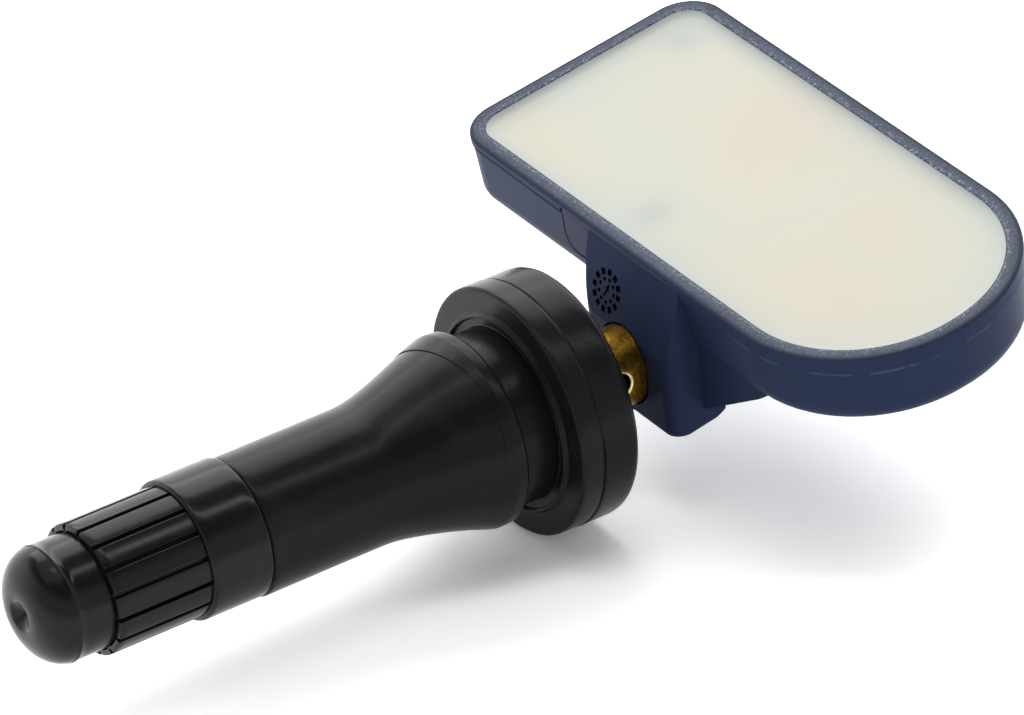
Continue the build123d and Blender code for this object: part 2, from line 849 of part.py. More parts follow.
# Potting: fills the tray around the electronics, a little below the rim and climbing at the walls
with BuildPart() as potting:
    extrude(tray_outline(floor_top, tray_wall), amount=-fill_edge_drop - floor_top)
    dish = tray_outline(-fill_edge_drop, tray_wall + fill_edge_width)
    extrude(dish, amount=fill_edge_drop - fill_drop, taper=fill_edge_slope, mode=Mode.SUBTRACT)
    with BuildSketch(tray_top.offset(floor_top)):
        with Locations((tray_middle, chip_place)):
            Circle(port_seal_radius)
    extrude(amount=chip_under - floor_top, mode=Mode.SUBTRACT)
    for piece in electronics:
        add(piece.part, mode=Mode.SUBTRACT)

pieces = {
    "rubber_stem": rubber_stem,
    "stem_insert": stem_insert,
    "core_plug": core_plug,
    "core_barrel": core_barrel,
    "core_barrel_seal": core_barrel_seal,
    "core_pin": core_pin,
    "core_cup_seal": core_cup_seal,
    "core_spring": core_spring,
    "valve_cap": valve_cap,
    "cap_seal": cap_seal,
    "sensor_housing": sensor_housing,
    "retaining_screw": retaining_screw,
    "circuit_board": circuit_board,
    "sensor_chip": sensor_chip,
    "port_seal": port_seal,
    "port_filter": port_filter,
    "crystal": crystal,
    "coil_core": coil_core,
    "coil_winding": coil_winding,
    "chip_capacitors": chip_capacitors,
    "battery_cell": battery_cell,
    "battery_tab_positive": battery_tab_positive,
    "battery_tab_negative": battery_tab_negative,
    "antenna_strip": antenna_strip,
    "potting": potting,
}

os.makedirs("parts", exist_ok=True)
for name, piece in pieces.items():
    piece.part.label = name
    export_step(piece.part, f"parts/{name}.step")
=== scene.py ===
"""Looks of a tyre pressure sensor: a snap-in rubber valve stem with its cap, and a potted sensor tray.

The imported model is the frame. The stem lies along X with the cap at its -X end, Z is up, lengths are metres.
"""

import json
import math

import bmesh
import bpy
from bpy.props import FloatProperty, FloatVectorProperty, IntProperty, PointerProperty
from mathutils import Matrix, Vector, geometry, noise

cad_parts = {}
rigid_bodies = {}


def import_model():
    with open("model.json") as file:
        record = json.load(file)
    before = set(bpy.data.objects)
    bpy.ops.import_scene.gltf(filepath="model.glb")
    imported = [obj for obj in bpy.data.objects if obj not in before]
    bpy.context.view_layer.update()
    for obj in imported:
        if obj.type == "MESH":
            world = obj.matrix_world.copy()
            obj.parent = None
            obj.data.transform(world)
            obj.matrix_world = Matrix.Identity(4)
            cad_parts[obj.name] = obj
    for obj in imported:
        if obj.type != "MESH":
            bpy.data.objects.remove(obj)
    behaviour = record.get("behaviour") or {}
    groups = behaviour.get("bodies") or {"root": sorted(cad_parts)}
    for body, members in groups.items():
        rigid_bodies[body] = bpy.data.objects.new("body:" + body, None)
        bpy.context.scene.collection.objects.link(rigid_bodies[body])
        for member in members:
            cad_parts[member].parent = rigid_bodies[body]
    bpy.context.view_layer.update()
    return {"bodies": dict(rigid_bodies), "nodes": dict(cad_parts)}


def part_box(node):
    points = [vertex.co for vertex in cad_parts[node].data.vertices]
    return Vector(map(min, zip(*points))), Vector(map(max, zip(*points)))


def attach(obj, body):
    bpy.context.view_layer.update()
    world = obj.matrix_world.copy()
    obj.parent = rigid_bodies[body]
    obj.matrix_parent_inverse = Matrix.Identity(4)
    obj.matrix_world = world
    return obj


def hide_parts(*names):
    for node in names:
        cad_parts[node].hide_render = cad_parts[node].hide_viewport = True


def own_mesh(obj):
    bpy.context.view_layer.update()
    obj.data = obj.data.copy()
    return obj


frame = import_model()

bl_info = {
    "name": "Tyre Pressure Sensor",
    "version": (1, 0, 0),
    "blender": (4, 5, 0),
    "location": "View3D > Sidebar > Sensor",
    "description": "Builds the looks of a snap-in tyre pressure sensor around its packed model",
    "category": "Object",
}

MM = 0.001
RUBBER_LOW, RUBBER_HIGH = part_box("rubber_stem")
INSERT_LOW, INSERT_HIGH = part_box("stem_insert")
CAP_LOW, CAP_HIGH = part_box("valve_cap")
SEAL_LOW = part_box("cap_seal")[0]


def linear(value):
    """Scene-linear RGBA of a colour written as #RRGGBB."""
    channels = [int(value[place:place + 2], 16) / 255 for place in (1, 3, 5)]
    return *(c / 12.92 if c <= 0.04045 else ((c + 0.055) / 1.055) ** 2.4 for c in channels), 1.0


def size(name, millimetres, description):
    """Length property: its default is written in millimetres and kept in metres."""
    return FloatProperty(
        name=name, description=description, default=millimetres * MM, unit="LENGTH", precision=5,
    )


def angle_of(name, degrees, description):
    """Angle property whose default is written in degrees."""
    return FloatProperty(name=name, description=description, default=math.radians(degrees), subtype="ANGLE")


def share_of(name, value, description):
    """Property for a share of something."""
    return FloatProperty(name=name, description=description, default=value, subtype="FACTOR")


def colour(name, value, description):
    """Colour property whose default is written as #RRGGBB."""
    return FloatVectorProperty(
        name=name, description=description, default=linear(value), subtype="COLOR", size=4, min=0.0, max=1.0,
    )


class StemSizes(bpy.types.PropertyGroup):
    """Sizes of the rubber stem; places along it run from the flange's front face towards the cap."""

    flange_radius: size("Flange radius", RUBBER_HIGH.z / MM, "Flange inside the wheel, from the axis")
    flange_thickness: size("Flange thickness", RUBBER_HIGH.x / MM, "Flange along the stem")
    flange_back_round: size("Flange back round", 0.7, "Round of the flange's back edge")
    flange_front_round: size("Flange front round", 0.25, "Round of the flange's front edge")
    groove_place: size("Parting groove place", 1.95, "Groove in the flange, from its front face")
    groove_width: size("Parting groove width", 0.26, "Groove where the two mould halves met")
    groove_depth: size("Parting groove depth", 0.22, "Depth of the groove where it is deepest")
    groove_faint_side: angle_of("Faint side", 128, "Turn from +Y to +Z of the side where it nearly closes")
    groove_faint_reach: angle_of("Faint reach", 50, "Turn over which the groove opens again")
    groove_faint: share_of("Faint share", 0.2, "Share of the groove left on its faint side")
    mould_shift: size("Mould shift", 0.08, "How far the flange's front half sits above its back half")
    skin_wave: size("Skin wave", 0.02, "How far the skin shrank, more in some places than in others")
    lip_radius: size("Lip radius", 7.8, "Foot of the thin lip that seals on the rim")
    lip_height: size("Lip height", 0.4, "How far the lip stands out of the flange")
    lip_lean: size("Lip lean", 0.2, "How far the lip leans in to the neck")
    lip_foot: size("Lip foot", 0.12, "Hollow round at the lip's foot")
    lip_edge: size("Lip edge", 0.05, "Round of the lip's edge, which catches the light")
    lip_width: size("Lip width", 0.14, "Thickness of the lip's edge")
    lip_wave: share_of("Lip wave", 0.09, "Share of its height that the lip waves")
    neck_radius: size("Neck radius", 6.7, "Bottom of the groove that holds the rim")
    neck_length: size("Neck length", 3.1, "Width of the groove that holds the rim")
    bulb_radius: size("Bulb radius", 7.5, "Bulb that snaps through the rim's hole")
    bulb_round: size("Bulb round", 0.4, "Round of the bulb's edge")
    bulb_band: size("Bulb band", 1.55, "Narrowest width of the bulb's edge band")
    bulb_ridge: size("Bulb ridge", 1.1, "Ridge of the band, from the rim groove")
    bulb_ridge_round: size("Bulb ridge round", 0.6, "Round of the ridge")
    bulb_step: size("Bulb step", 0.22, "Drop from the ridge to the start of the flare")
    crease_step: size("Crease step", 0.08, "Sharp part of that drop, at the end of the band")
    crease_spread: size("Crease spread", 0.65, "How far the end of the band swings out along the flare")
    crease_reach: size("Crease reach", 9.0, "Place where the flare no longer follows that swing")
    crease_side: angle_of("Crease side", 140, "Turn from +Y to +Z of the side where the band is narrowest")
    crease_crown: angle_of("Crease crown", 100, "Turn from +Y to +Z of the side where the crease is sharpest")
    crease_faint: share_of("Crease faint", 0.05, "Share of the crease left on the side away from its crown")
    flare_length: size("Flare length", 8.55, "Length of the narrowing")
    flare_angle: angle_of("Flare angle", 15.6, "Slope of the flare at the bulb")
    flare_start_fullness: share_of("Flare start", 0.35, "Share of the flare that stays straight at the bulb")
    flare_end_fullness: share_of("Flare end", 0.27, "Share of the flare that runs out along the shank")
    shank_radius: size("Shank radius", 5.3, "Straight stem below the cap")
    shank_sag: size("Shank sag", 0.2, "How far the soft shank hangs below the axis where it hangs most")
    sag_place: size("Sag place", 13.0, "Where it hangs most")
    rubber_length: size("Rubber length", -RUBBER_LOW.x / MM, "End of the rubber below the cap")
    end_round: size("End round", 0.3, "Round of the rubber's end")
    collar_place: size("Collar place", 6.4, "Brass collar held in the rubber")
    collar_length: size("Collar length", 1.6, "Collar along the stem")
    collar_radius: size("Collar radius", 4.3, "Collar from the axis")


class InsertSizes(bpy.types.PropertyGroup):
    """Sizes of the brass insert, along the stem's axis."""

    radius: size("Insert radius", 3.05, "Plain part of the insert")
    end_edge: size("End edge", 0.12, "Broken edge of the insert's end")
    thread_radius: size("Thread radius", 3.85, "Crest of the valve thread")
    thread_length: size("Thread length", 11.0, "Length of the valve thread")
    thread_pitch: size("Thread pitch", 0.794, "One turn of the valve thread")
    thread_depth: size("Thread depth", 0.43, "Crest to root of the valve thread")
    chamfer: size("Tip chamfer", 0.5, "Chamfer on the tip")
    core_bore_radius: size("Core bore radius", 2.65, "Mouth that takes the valve core")
    core_bore_depth: size("Core bore depth", 6.2, "Depth of the mouth")
    seat_length: size("Core seat length", 2.6, "Cone that the core seals on")
    bore_radius: size("Bore radius", 2.2, "Air way through the stem")
    bore_end: size("Bore end", 8.95, "Place where the air way ends")
    tap_radius: size("Tapped hole radius", 1.5, "Hole for the retaining screw")
    tap_depth: size("Tapped hole depth", 3.2, "Depth of the tapped hole")
    flat_place: size("Flat place", 2.8, "Milled flat, from the axis")
    port_radius: size("Port radius", 1.05, "Air port in the flat")
    port_place: size("Port place", 8.15, "Air port along the stem")
    port_rise: size("Port rise", 0.3, "Air port above the stem's axis")
    port_edge_width: size("Port edge width", 0.16, "Bright countersunk edge of the port")
    port_edge_depth: size("Port edge depth", 0.11, "Depth of that edge")
    pin_travel: size("Pin travel", 1.2, "How far the valve core's pin is pressed in")


class CapSizes(bpy.types.PropertyGroup):
    """Sizes of the valve cap, from its mouth to its dome."""

    skirt_radius: size("Skirt radius", CAP_HIGH.z / MM, "Smooth skirt at the mouth")
    skirt_length: size("Skirt length", 5.0, "Skirt along the stem")
    skirt_round: size("Skirt round", 0.3, "Round of the skirt's outer edge")
    skin_wave: size("Skin wave", 0.012, "How far the skin shrank, more in some places than in others")
    grip_radius: size("Grip radius", 4.98, "Top of the ribs")
    grip_length: size("Grip length", 7.8, "Length of the ribs")
    rib_count: IntProperty(name="Ribs", description="Ribs round the grip", default=16, min=3)
    groove_width: size("Groove width", 0.28, "Gap between two ribs")
    groove_depth: size("Groove depth", 0.38, "Depth of the gap between two ribs")
    rib_round: size("Rib round", 0.07, "Round along the edges of a rib")
    nose_radius: size("Nose radius", 4.42, "Plain ring between the ribs and the dome")
    nose_length: size("Nose length", 2.8, "Length of the plain ring")
    crease_height: size("Crease height", 0.1, "Raised line where the dome starts")
    crease_width: size("Crease width", 0.24, "Width of the raised line")
    dome_height: size("Dome height", 2.4, "Height of the dome over the nose")
    dome_flat_radius: size("Dome flat radius", 1.25, "Edge of the dimple in the dome")
    dome_fullness: share_of("Dome fullness", 0.62, "How far the dome stays full before it turns in")
    dome_shoulder: share_of("Dome shoulder", 0.95, "Share of the nose's radius kept at the dome's handle")
    dimple_depth: size("Dimple depth", 0.6, "Dimple in the dome")
    pit_radius: size("Pit radius", 0.28, "Small pit in the dimple")
    pit_depth: size("Pit depth", 0.5, "Depth of the small pit")
    mouth_radius: size("Mouth radius", 4.5, "Wide start of the cap's bore")
    mouth_depth: size("Mouth depth", 1.3, "Depth of the wide start")
    bore_radius: size("Bore radius", 3.95, "Cap's bore over the thread")


class TraySizes(bpy.types.PropertyGroup):
    """Sizes of the tray on its own plane: x back from the near edge, y along the tray, z out of the fill."""

    place: FloatVectorProperty(
        name="Place", description="Point of the tray's near top edge over the stem",
        default=(0.0118, 0.0, 0.00867), subtype="TRANSLATION", precision=5,
    )
    tilt: angle_of("Tilt", 9.1, "Lean of the tray")
    length: size("Length", 47.7, "Tray along its long side")
    reach: size("Reach", 23.3, "Square end of the tray, from the stem's axis")
    width: size("Width", 22.7, "Tray from its near edge to its far edge")
    corner_radius: size("Corner radius", 3.3, "Corners of the square end")
    end_flat: size("End flat", 0.4, "Straight part left at the round end")
    wall: size("Wall", 1.25, "Thickness of the rim")
    rim_round: size("Rim round", 0.22, "Round of the rim's edges")
    rim_film: size("Rim film", 0.012, "How far the rim's rough skin stands out of it")
    band_height: size("Band height", 1.06, "Parting line below the tray's top, at the middle")
    band_lean: angle_of("Band lean", 1.0, "Lean of the parting line along the tray")
    band_step: size("Band step", 0.08, "Step in the wall at the parting line")
    flash_size: size("Flash size", 0.06, "Ragged ridge left on the parting line")
    flash_start: size("Flash start", 9.0, "Where the flash starts to show light, from the stem's axis")
    flash_full: size("Flash full", 12.0, "Where it shows at its lightest, nearer to the round end")
    mark_place: size("Mark place", 9.3, "Top of the hairline left by a mould insert, from the stem's axis")
    mark_start: size("Mark start", 0.36, "Top of the hairline below the tray's top")
    mark_foot: size("Mark foot", 4.15, "Foot of the hairline below the tray's top")
    mark_lean: size("Mark lean", 0.5, "How far the hairline leans out on its way down")
    mark_round: size("Mark round", 1.3, "Round where the hairline turns to the bracket")
    mark_width: size("Mark width", 0.24, "Hairline with the shade beside it")
    bracket_face: size("Bracket face", 10.5, "Front of the bracket along the stem")
    bracket_side: size("Bracket side", 5.4, "Side of the bracket, from the stem's axis")
    bracket_lean_height: size("Bracket lean height", 2.6, "Where the bracket's front starts to lean")
    bracket_top_drop: size("Bracket top", 0.35, "Top of the bracket below the tray's top")
    dial_left: size("Dial place", 2.7, "Moulded dial, from the stem's axis")
    dial_height: size("Dial height", 4.75, "Moulded dial over the stem's axis")
    dial_radius: size("Dial radius", 1.7, "Outside of the dial's marks")
    fill_edge_drop: size("Fill edge", 0.05, "Fill below the rim where it clings to the wall")
    fill_drop: size("Fill level", 0.36, "Fill below the rim in the middle")
    fill_cling: size("Fill cling", 0.45, "How far from the wall the fill sinks to its level")
    fill_foot: size("Fill foot", 1.2, "Underside of the fill's skin below the rim")
    fill_thin_edge: size("Thin edge", 1.3, "Width over which the fill turns bluish at the wall")
    fill_wave: size("Fill wave", 0.03, "Height of the slow waves left as the fill set")


class Finishes(bpy.types.PropertyGroup):
    """Colours of the finishes that the photograph shows."""

    rubber: colour("Rubber", "#131415", "Black of the stem's rubber")
    rubber_bloom: colour("Rubber bloom", "#1D1E1D", "Greyish bloom on the rubber")
    cap: colour("Cap plastic", "#121313", "Black of the cap's plastic")
    cap_scuff: colour("Cap scuff", "#1F201E", "Grey of its handling marks")
    brass: colour("Brass", "#8C6A1E", "Turned brass")
    brass_tarnish: colour("Brass tarnish", "#4C390F", "Brown of handled brass")
    # Painted glints: pale brass specks along the lathe's rings
    brass_painted_glint: colour("Brass glint", "#DDB04A", "Specks where the tool skidded")
    # Fresh-cut brass at the port's edge, made paler as a painted highlight
    brass_cut_and_highlight: colour("Cut brass", "#F3DFAE", "Fresh cut at the port's edge")
    navy: colour("Navy plastic", "#252E48", "Navy of the tray's plastic")
    navy_bloom: colour("Navy bloom", "#2E3750", "Paler navy where the moulding flowed")
    # Painted shade: dark navy laid into the sunk dial, along the hairline and the parting line, and in the
    # rim's pits
    navy_painted_shade: colour("Navy recess", "#080B18", "Shaded navy down in the moulded marks")
    # Painted highlight: paler navy on the flash along the parting line
    navy_flash_highlight: colour("Navy flash", "#414B63", "Thin light flash on the parting line")
    rim: colour("Rim", "#2E3444", "Slate of the rim")
    rim_scuff: colour("Rim scuff", "#4B5261", "Paler slate in the rim's rough grain")
    rim_speck: colour("Rim speck", "#9CA3A8", "Bright specks on the rough rim")
    fill: colour("Fill", "#A8A594", "Cream of the potting compound")
    fill_cool: colour("Cool fill", "#A1A396", "Cooler cream in its slow mottling")
    fill_warm: colour("Warm fill", "#ACA494", "Warmer cream in its slow mottling")
    fill_thin: colour("Thin fill", "#848F91", "Bluish grey where the fill is thin over the navy")
    floor: colour("Floor", "#F4F4F4", "Pale floor")


class StageSizes(bpy.types.PropertyGroup):
    """Camera, floor and light, at the photograph's viewing angle."""

    camera_place: FloatVectorProperty(
        name="Camera", description="Place of the camera", default=(-0.29565, -0.44374, 0.35028),
        subtype="TRANSLATION",
    )
    camera_azimuth: FloatProperty(
        name="Azimuth", description="Turn of the view about Z", default=-0.5888, subtype="ANGLE",
    )
    camera_elevation: FloatProperty(
        name="Elevation", description="Height of the view over the floor", default=0.5750, subtype="ANGLE",
    )
    camera_roll: FloatProperty(
        name="Roll", description="Roll of the camera", default=-0.0452, subtype="ANGLE",
    )
    camera_lens: FloatProperty(name="Lens", description="Focal length in millimetres", default=309.1)
    floor_radius: size("Floor radius", 6000.0, "Reach of the floor")
    floor_glow: FloatProperty(name="Floor glow", description="Exposure of the floor to the eye", default=1.46)
    back_light: FloatProperty(name="Back wall", description="Light from the back of the room", default=2.6)
    front_light: FloatProperty(name="Front wall", description="Light from the front of the room", default=1.0)
    ceiling_light: FloatProperty(name="Ceiling", description="Light from the ceiling", default=0.1)
    key_power: FloatProperty(name="Key light", description="Soft box overhead, in watts", default=3.4)
    back_power: FloatProperty(name="Back light", description="Soft box behind, in watts", default=10.5)
    strip_power: FloatProperty(name="Strip light", description="Strip over the stem, in watts", default=2.5)


# Lamps, which all face the origin: name, place, size in metres and the stage's property for its power
LAMPS = (
    ("key_soft_box", (-0.22, 0.12, 0.97), (1.0, 1.0), "key_power"),
    ("back_soft_box", (0.32, 0.62, 0.72), (0.6, 1.2), "back_power"),
    ("overhead_strip", (0.25, -0.16, 0.95), (1.1, 0.09), "strip_power"),
)


def add(tree, kind, inputs=None, **settings):
    """Adds a node with its settings. Inputs are sockets to link or values to set, by name or number.

    A colour Mix has its factor at input 0, its colours at 6 and 7, and its result at output 2.
    """
    node = tree.nodes.new(kind)
    for name, value in settings.items():
        setattr(node, name, value)
    for name, value in (inputs or {}).items():
        if isinstance(value, bpy.types.NodeSocket):
            tree.links.new(value, node.inputs[name])
        else:
            node.inputs[name].default_value = value
    return node


def new_finish(name, surface=None):
    """New material with its tree and its shader; surface gives values that are the same all over it."""
    finish = bpy.data.materials.new(name)
    finish.use_nodes = True
    shader = finish.node_tree.nodes["Principled BSDF"]
    for socket, value in (surface or {}).items():
        shader.inputs[socket].default_value = value
    return finish, finish.node_tree, shader


def link_surface(tree, shader, tone, gloss, bump):
    """Links a finish's colour mix, its roughness and its bump to the shader."""
    tree.links.new(tone.outputs[2], shader.inputs["Base Color"])
    tree.links.new(gloss.outputs[0], shader.inputs["Roughness"])
    tree.links.new(bump.outputs[0], shader.inputs["Normal"])


def per_mm(millimetres):
    """Texture scale that gives a pattern its size, in millimetres, on coordinates in metres."""
    return 1.0 / (millimetres * MM)


def rounded(corners, steps=5):
    """(place, radius) path through (place, radius, round) corners, with an arc at each round."""
    path = []
    for before, corner, after in zip([corners[0], *corners], corners, [*corners[1:], corners[-1]]):
        point = Vector(corner[:2])
        if not corner[2]:
            path.append(tuple(point))
            continue
        back = (Vector(before[:2]) - point).normalized()
        ahead = (Vector(after[:2]) - point).normalized()
        half = back.angle(ahead) / 2
        centre = point + (back + ahead).normalized() * corner[2] / math.sin(half)
        start = point + back * corner[2] / math.tan(half) - centre
        end = point + ahead * corner[2] / math.tan(half) - centre
        turn = start.angle(end)
        for step in range(steps + 1):
            share = turn * step / steps
            spoke = (start * math.sin(turn - share) + end * math.sin(share)) / math.sin(turn)
            path.append(tuple(centre + spoke))
    return path


def bezier(start, start_handle, end_handle, end, steps=24):
    """Points of a Bezier curve between (place, radius) points, without its two ends."""
    knots = [Vector(point) for point in (start, start_handle, end_handle, end)]
    return [(point.x, point.y) for point in geometry.interpolate_bezier(*knots, steps + 1)[1:-1]]


def divided(path, step):
    """Path with points added, so that none are further apart than a step."""
    points = [path[0]]
    for end in path[1:]:
        start = points[-1]
        parts = max(1, math.ceil((Vector(end) - Vector(start)).length / step))
        points += [tuple(Vector(start).lerp(Vector(end), part / parts)) for part in range(1, parts + 1)]
    return points


def quarter_round(share):
    """Height of a rounded edge, from 0 at its foot to 1 at its top, at a share of the way across it."""
    return math.sqrt(max(0.0, 1.0 - (1.0 - min(1.0, share)) ** 2))


def stitch(shape, rings):
    """Adds faces between each closed ring of vertices and the next; a ring may be one vertex repeated."""
    for low, high in zip(rings, rings[1:]):
        for step in range(len(low)):
            ahead = (step + 1) % len(low)
            shape.faces.new(dict.fromkeys((low[step], low[ahead], high[ahead], high[step])))


def as_piece(name, shape, sharp_degrees):
    """Object with a bmesh's shape: faces outwards, smooth apart from edges sharper than the angle."""
    bmesh.ops.recalc_face_normals(shape, faces=shape.faces)
    mesh = bpy.data.meshes.new(name)
    shape.to_mesh(mesh)
    shape.free()
    mesh.shade_smooth()
    mesh.set_sharp_from_angle(angle=math.radians(sharp_degrees))
    piece = bpy.data.objects.new(name, mesh)
    bpy.context.scene.collection.objects.link(piece)
    return piece


def turned(path, segments, shaped=lambda x, radius, angle: (x, radius, 0.0)):
    """Closed shape from a path of (place, radius) points turned about X.

    A path that starts and ends on the axis is closed there, any other from its end to its start.
    shaped gives each point's place along X, its radius and how far it is lifted along Z.
    """
    shape = bmesh.new()
    rings = []
    for x, radius in path:
        if radius == 0.0:
            rings.append([shape.verts.new((x, 0.0, 0.0))] * segments)
            continue
        ring = []
        for step in range(segments):
            angle = math.tau * step / segments
            place, reach, lift = shaped(x, radius, angle)
            ring.append(shape.verts.new((place, reach * math.cos(angle), reach * math.sin(angle) + lift)))
        rings.append(ring)
    on_axis = path[0][1] == 0.0 and path[-1][1] == 0.0
    stitch(shape, rings if on_axis else [*rings, rings[0]])
    return shape


def apply_modifiers(piece):
    """Turns a piece and its modifiers into a plain mesh."""
    depsgraph = bpy.context.evaluated_depsgraph_get()
    mesh = bpy.data.meshes.new_from_object(piece.evaluated_get(depsgraph), depsgraph=depsgraph)
    piece.modifiers.clear()
    piece.data = mesh


def apply_nodes(piece, tree, inputs):
    """Puts a Geometry Nodes tree on a piece, sets its named inputs and makes the result a plain mesh."""
    modifier = piece.modifiers.new(tree.name, "NODES")
    modifier.node_group = tree
    for item in tree.interface.items_tree:
        if item.in_out == "INPUT" and item.name in inputs:
            modifier[item.identifier] = inputs[item.name]
    apply_modifiers(piece)


def new_node_tool(name, inputs):
    """Geometry Nodes tree with a geometry in and out and named inputs of (socket kind, default)."""
    tree = bpy.data.node_groups.new(name, "GeometryNodeTree")
    tree.interface.new_socket("Geometry", in_out="INPUT", socket_type="NodeSocketGeometry")
    for label, (kind, default) in inputs.items():
        socket = tree.interface.new_socket(label, in_out="INPUT", socket_type=kind)
        if default is not None:
            socket.default_value = default
    tree.interface.new_socket("Geometry", in_out="OUTPUT", socket_type="NodeSocketGeometry")
    return tree, add(tree, "NodeGroupInput")


def end_node_tool(tree, geometry_socket, finish_socket):
    """Ends a Geometry Nodes tree: real geometry with its finish goes to the output."""
    real = add(tree, "GeometryNodeRealizeInstances", {"Geometry": geometry_socket})
    finished = add(tree, "GeometryNodeSetMaterial", {"Geometry": real.outputs[0], "Material": finish_socket})
    add(tree, "NodeGroupOutput", {"Geometry": finished.outputs[0]})


def around_axis():
    """Tree that repeats a shape round the X axis."""
    tree, given = new_node_tool("Around axis", {
        "Count": ("NodeSocketInt", 1),
        "Finish": ("NodeSocketMaterial", None),
    })
    points = add(tree, "GeometryNodePoints", {"Count": given.outputs["Count"]})
    index = add(tree, "GeometryNodeInputIndex")
    share = add(tree, "ShaderNodeMath", {0: index.outputs[0], 1: given.outputs["Count"]}, operation="DIVIDE")
    angle = add(tree, "ShaderNodeMath", {0: share.outputs[0], 1: math.tau}, operation="MULTIPLY")
    turn = add(tree, "ShaderNodeCombineXYZ", {"X": angle.outputs[0]})
    rotation = add(tree, "FunctionNodeEulerToRotation", {0: turn.outputs[0]})
    placed = add(tree, "GeometryNodeInstanceOnPoints", {
        "Points": points.outputs[0], "Instance": given.outputs["Geometry"], "Rotation": rotation.outputs[0],
    })
    end_node_tool(tree, placed.outputs[0], given.outputs["Finish"])
    return tree


def ragged_line():
    """Tree that lays a thin ragged ridge along a line of edges, high in some places and gone in others."""
    tree, given = new_node_tool("Ragged line", {
        "Size": ("NodeSocketFloat", 0.0),
        "Grain": ("NodeSocketFloat", 1.0),
        "Finish": ("NodeSocketMaterial", None),
    })
    curve = add(tree, "GeometryNodeMeshToCurve", {"Mesh": given.outputs["Geometry"]})
    grain = add(tree, "ShaderNodeTexNoise", {
        "Scale": given.outputs["Grain"], "Detail": 3.0, "Roughness": 0.6,
    })
    kept = add(tree, "ShaderNodeMapRange", {"Value": grain.outputs[0], "From Min": 0.42, "From Max": 0.66})
    reach = add(tree, "ShaderNodeMath", {
        0: kept.outputs[0], 1: given.outputs["Size"],
    }, operation="MULTIPLY")
    outline = add(tree, "GeometryNodeCurvePrimitiveCircle", {"Resolution": 6, "Radius": 1.0})
    ridge = add(tree, "GeometryNodeCurveToMesh", {
        "Curve": curve.outputs[0], "Profile Curve": outline.outputs[0], "Scale": reach.outputs[0],
    })
    end_node_tool(tree, ridge.outputs[0], given.outputs["Finish"])
    return tree


def tray_frame(tray):
    """Matrix from the tray's own plane to the frame."""
    return Matrix.Translation(tray.place) @ Matrix.Rotation(-tray.tilt, 4, "Y")


def tray_ring(tray, inset, height=0.0, corner_steps=18, side_steps=48):
    """Points of the D-shaped outline on the tray's plane, moved inwards; rings of like steps match."""
    end_radius = (tray.width - tray.end_flat) / 2
    round_end = tray.reach - tray.length
    centres = [
        (tray.corner_radius, tray.reach - tray.corner_radius, tray.corner_radius, math.pi / 2),
        (end_radius, round_end + end_radius, end_radius, math.pi),
        (tray.width - end_radius, round_end + end_radius, end_radius, 3 * math.pi / 2),
        (tray.width - tray.corner_radius, tray.reach - tray.corner_radius, tray.corner_radius, 0.0),
    ]
    arcs = []
    for x, y, radius, start in centres:
        angles = (start + math.pi / 2 * step / corner_steps for step in range(corner_steps + 1))
        arcs.append([Vector((
            x + (radius - inset) * math.cos(angle), y + (radius - inset) * math.sin(angle), height,
        )) for angle in angles])
    ring = []
    for arc, following in zip(arcs, [*arcs[1:], arcs[0]]):
        ring += arc
        ring += [arc[-1].lerp(following[0], step / side_steps) for step in range(1, side_steps)]
    return ring


# The black and navy mouldings have a low IOR, because a mould's texture takes off most of the straight-on
# reflection. That texture is some hundredths of a millimetre, too fine to show, so it is drawn coarser.


def moulded_rubber(finishes):
    """Moulded EPDM rubber: deep satin black, with a faint greyish bloom and a fine leathery skin."""
    finish, tree, shader = new_finish("moulded_epdm_rubber", {"IOR": 1.18})
    place = add(tree, "ShaderNodeTexCoord").outputs["Object"]
    bloom = add(tree, "ShaderNodeTexNoise", {"Vector": place, "Scale": per_mm(5.0), "Detail": 4.0})
    patch = add(tree, "ShaderNodeMapRange", {"Value": bloom.outputs[0], "From Min": 0.5, "From Max": 0.8})
    tone = add(tree, "ShaderNodeMix", {
        0: patch.outputs[0], 6: finishes.rubber, 7: finishes.rubber_bloom,
    }, data_type="RGBA")
    gloss = add(tree, "ShaderNodeMapRange", {"Value": bloom.outputs[0], "To Min": 0.2, "To Max": 0.32})
    skin = add(tree, "ShaderNodeTexNoise", {"Vector": place, "Scale": per_mm(0.35), "Detail": 3.0})
    bump = add(tree, "ShaderNodeBump", {"Height": skin.outputs[0], "Strength": 0.35, "Distance": 0.02 * MM})
    link_surface(tree, shader, tone, gloss, bump)
    return finish


def moulded_cap_plastic(finishes):
    """Moulded nylon: black with a clearer gloss than the rubber and a few grey handling marks."""
    finish, tree, shader = new_finish("moulded_black_nylon", {"IOR": 1.24})
    place = add(tree, "ShaderNodeTexCoord").outputs["Object"]
    handling = add(tree, "ShaderNodeTexNoise", {
        "Vector": place, "Scale": per_mm(2.2), "Detail": 6.0, "Roughness": 0.65,
    })
    marks = add(tree, "ShaderNodeMapRange", {
        "Value": handling.outputs[0], "From Min": 0.58, "From Max": 0.82,
    })
    tone = add(tree, "ShaderNodeMix", {
        0: marks.outputs[0], 6: finishes.cap, 7: finishes.cap_scuff,
    }, data_type="RGBA")
    gloss = add(tree, "ShaderNodeMapRange", {"Value": handling.outputs[0], "To Min": 0.1, "To Max": 0.28})
    skin = add(tree, "ShaderNodeTexNoise", {"Vector": place, "Scale": per_mm(0.25), "Detail": 2.0})
    bump = add(tree, "ShaderNodeBump", {"Height": skin.outputs[0], "Strength": 0.2, "Distance": 0.01 * MM})
    link_surface(tree, shader, tone, gloss, bump)
    return finish


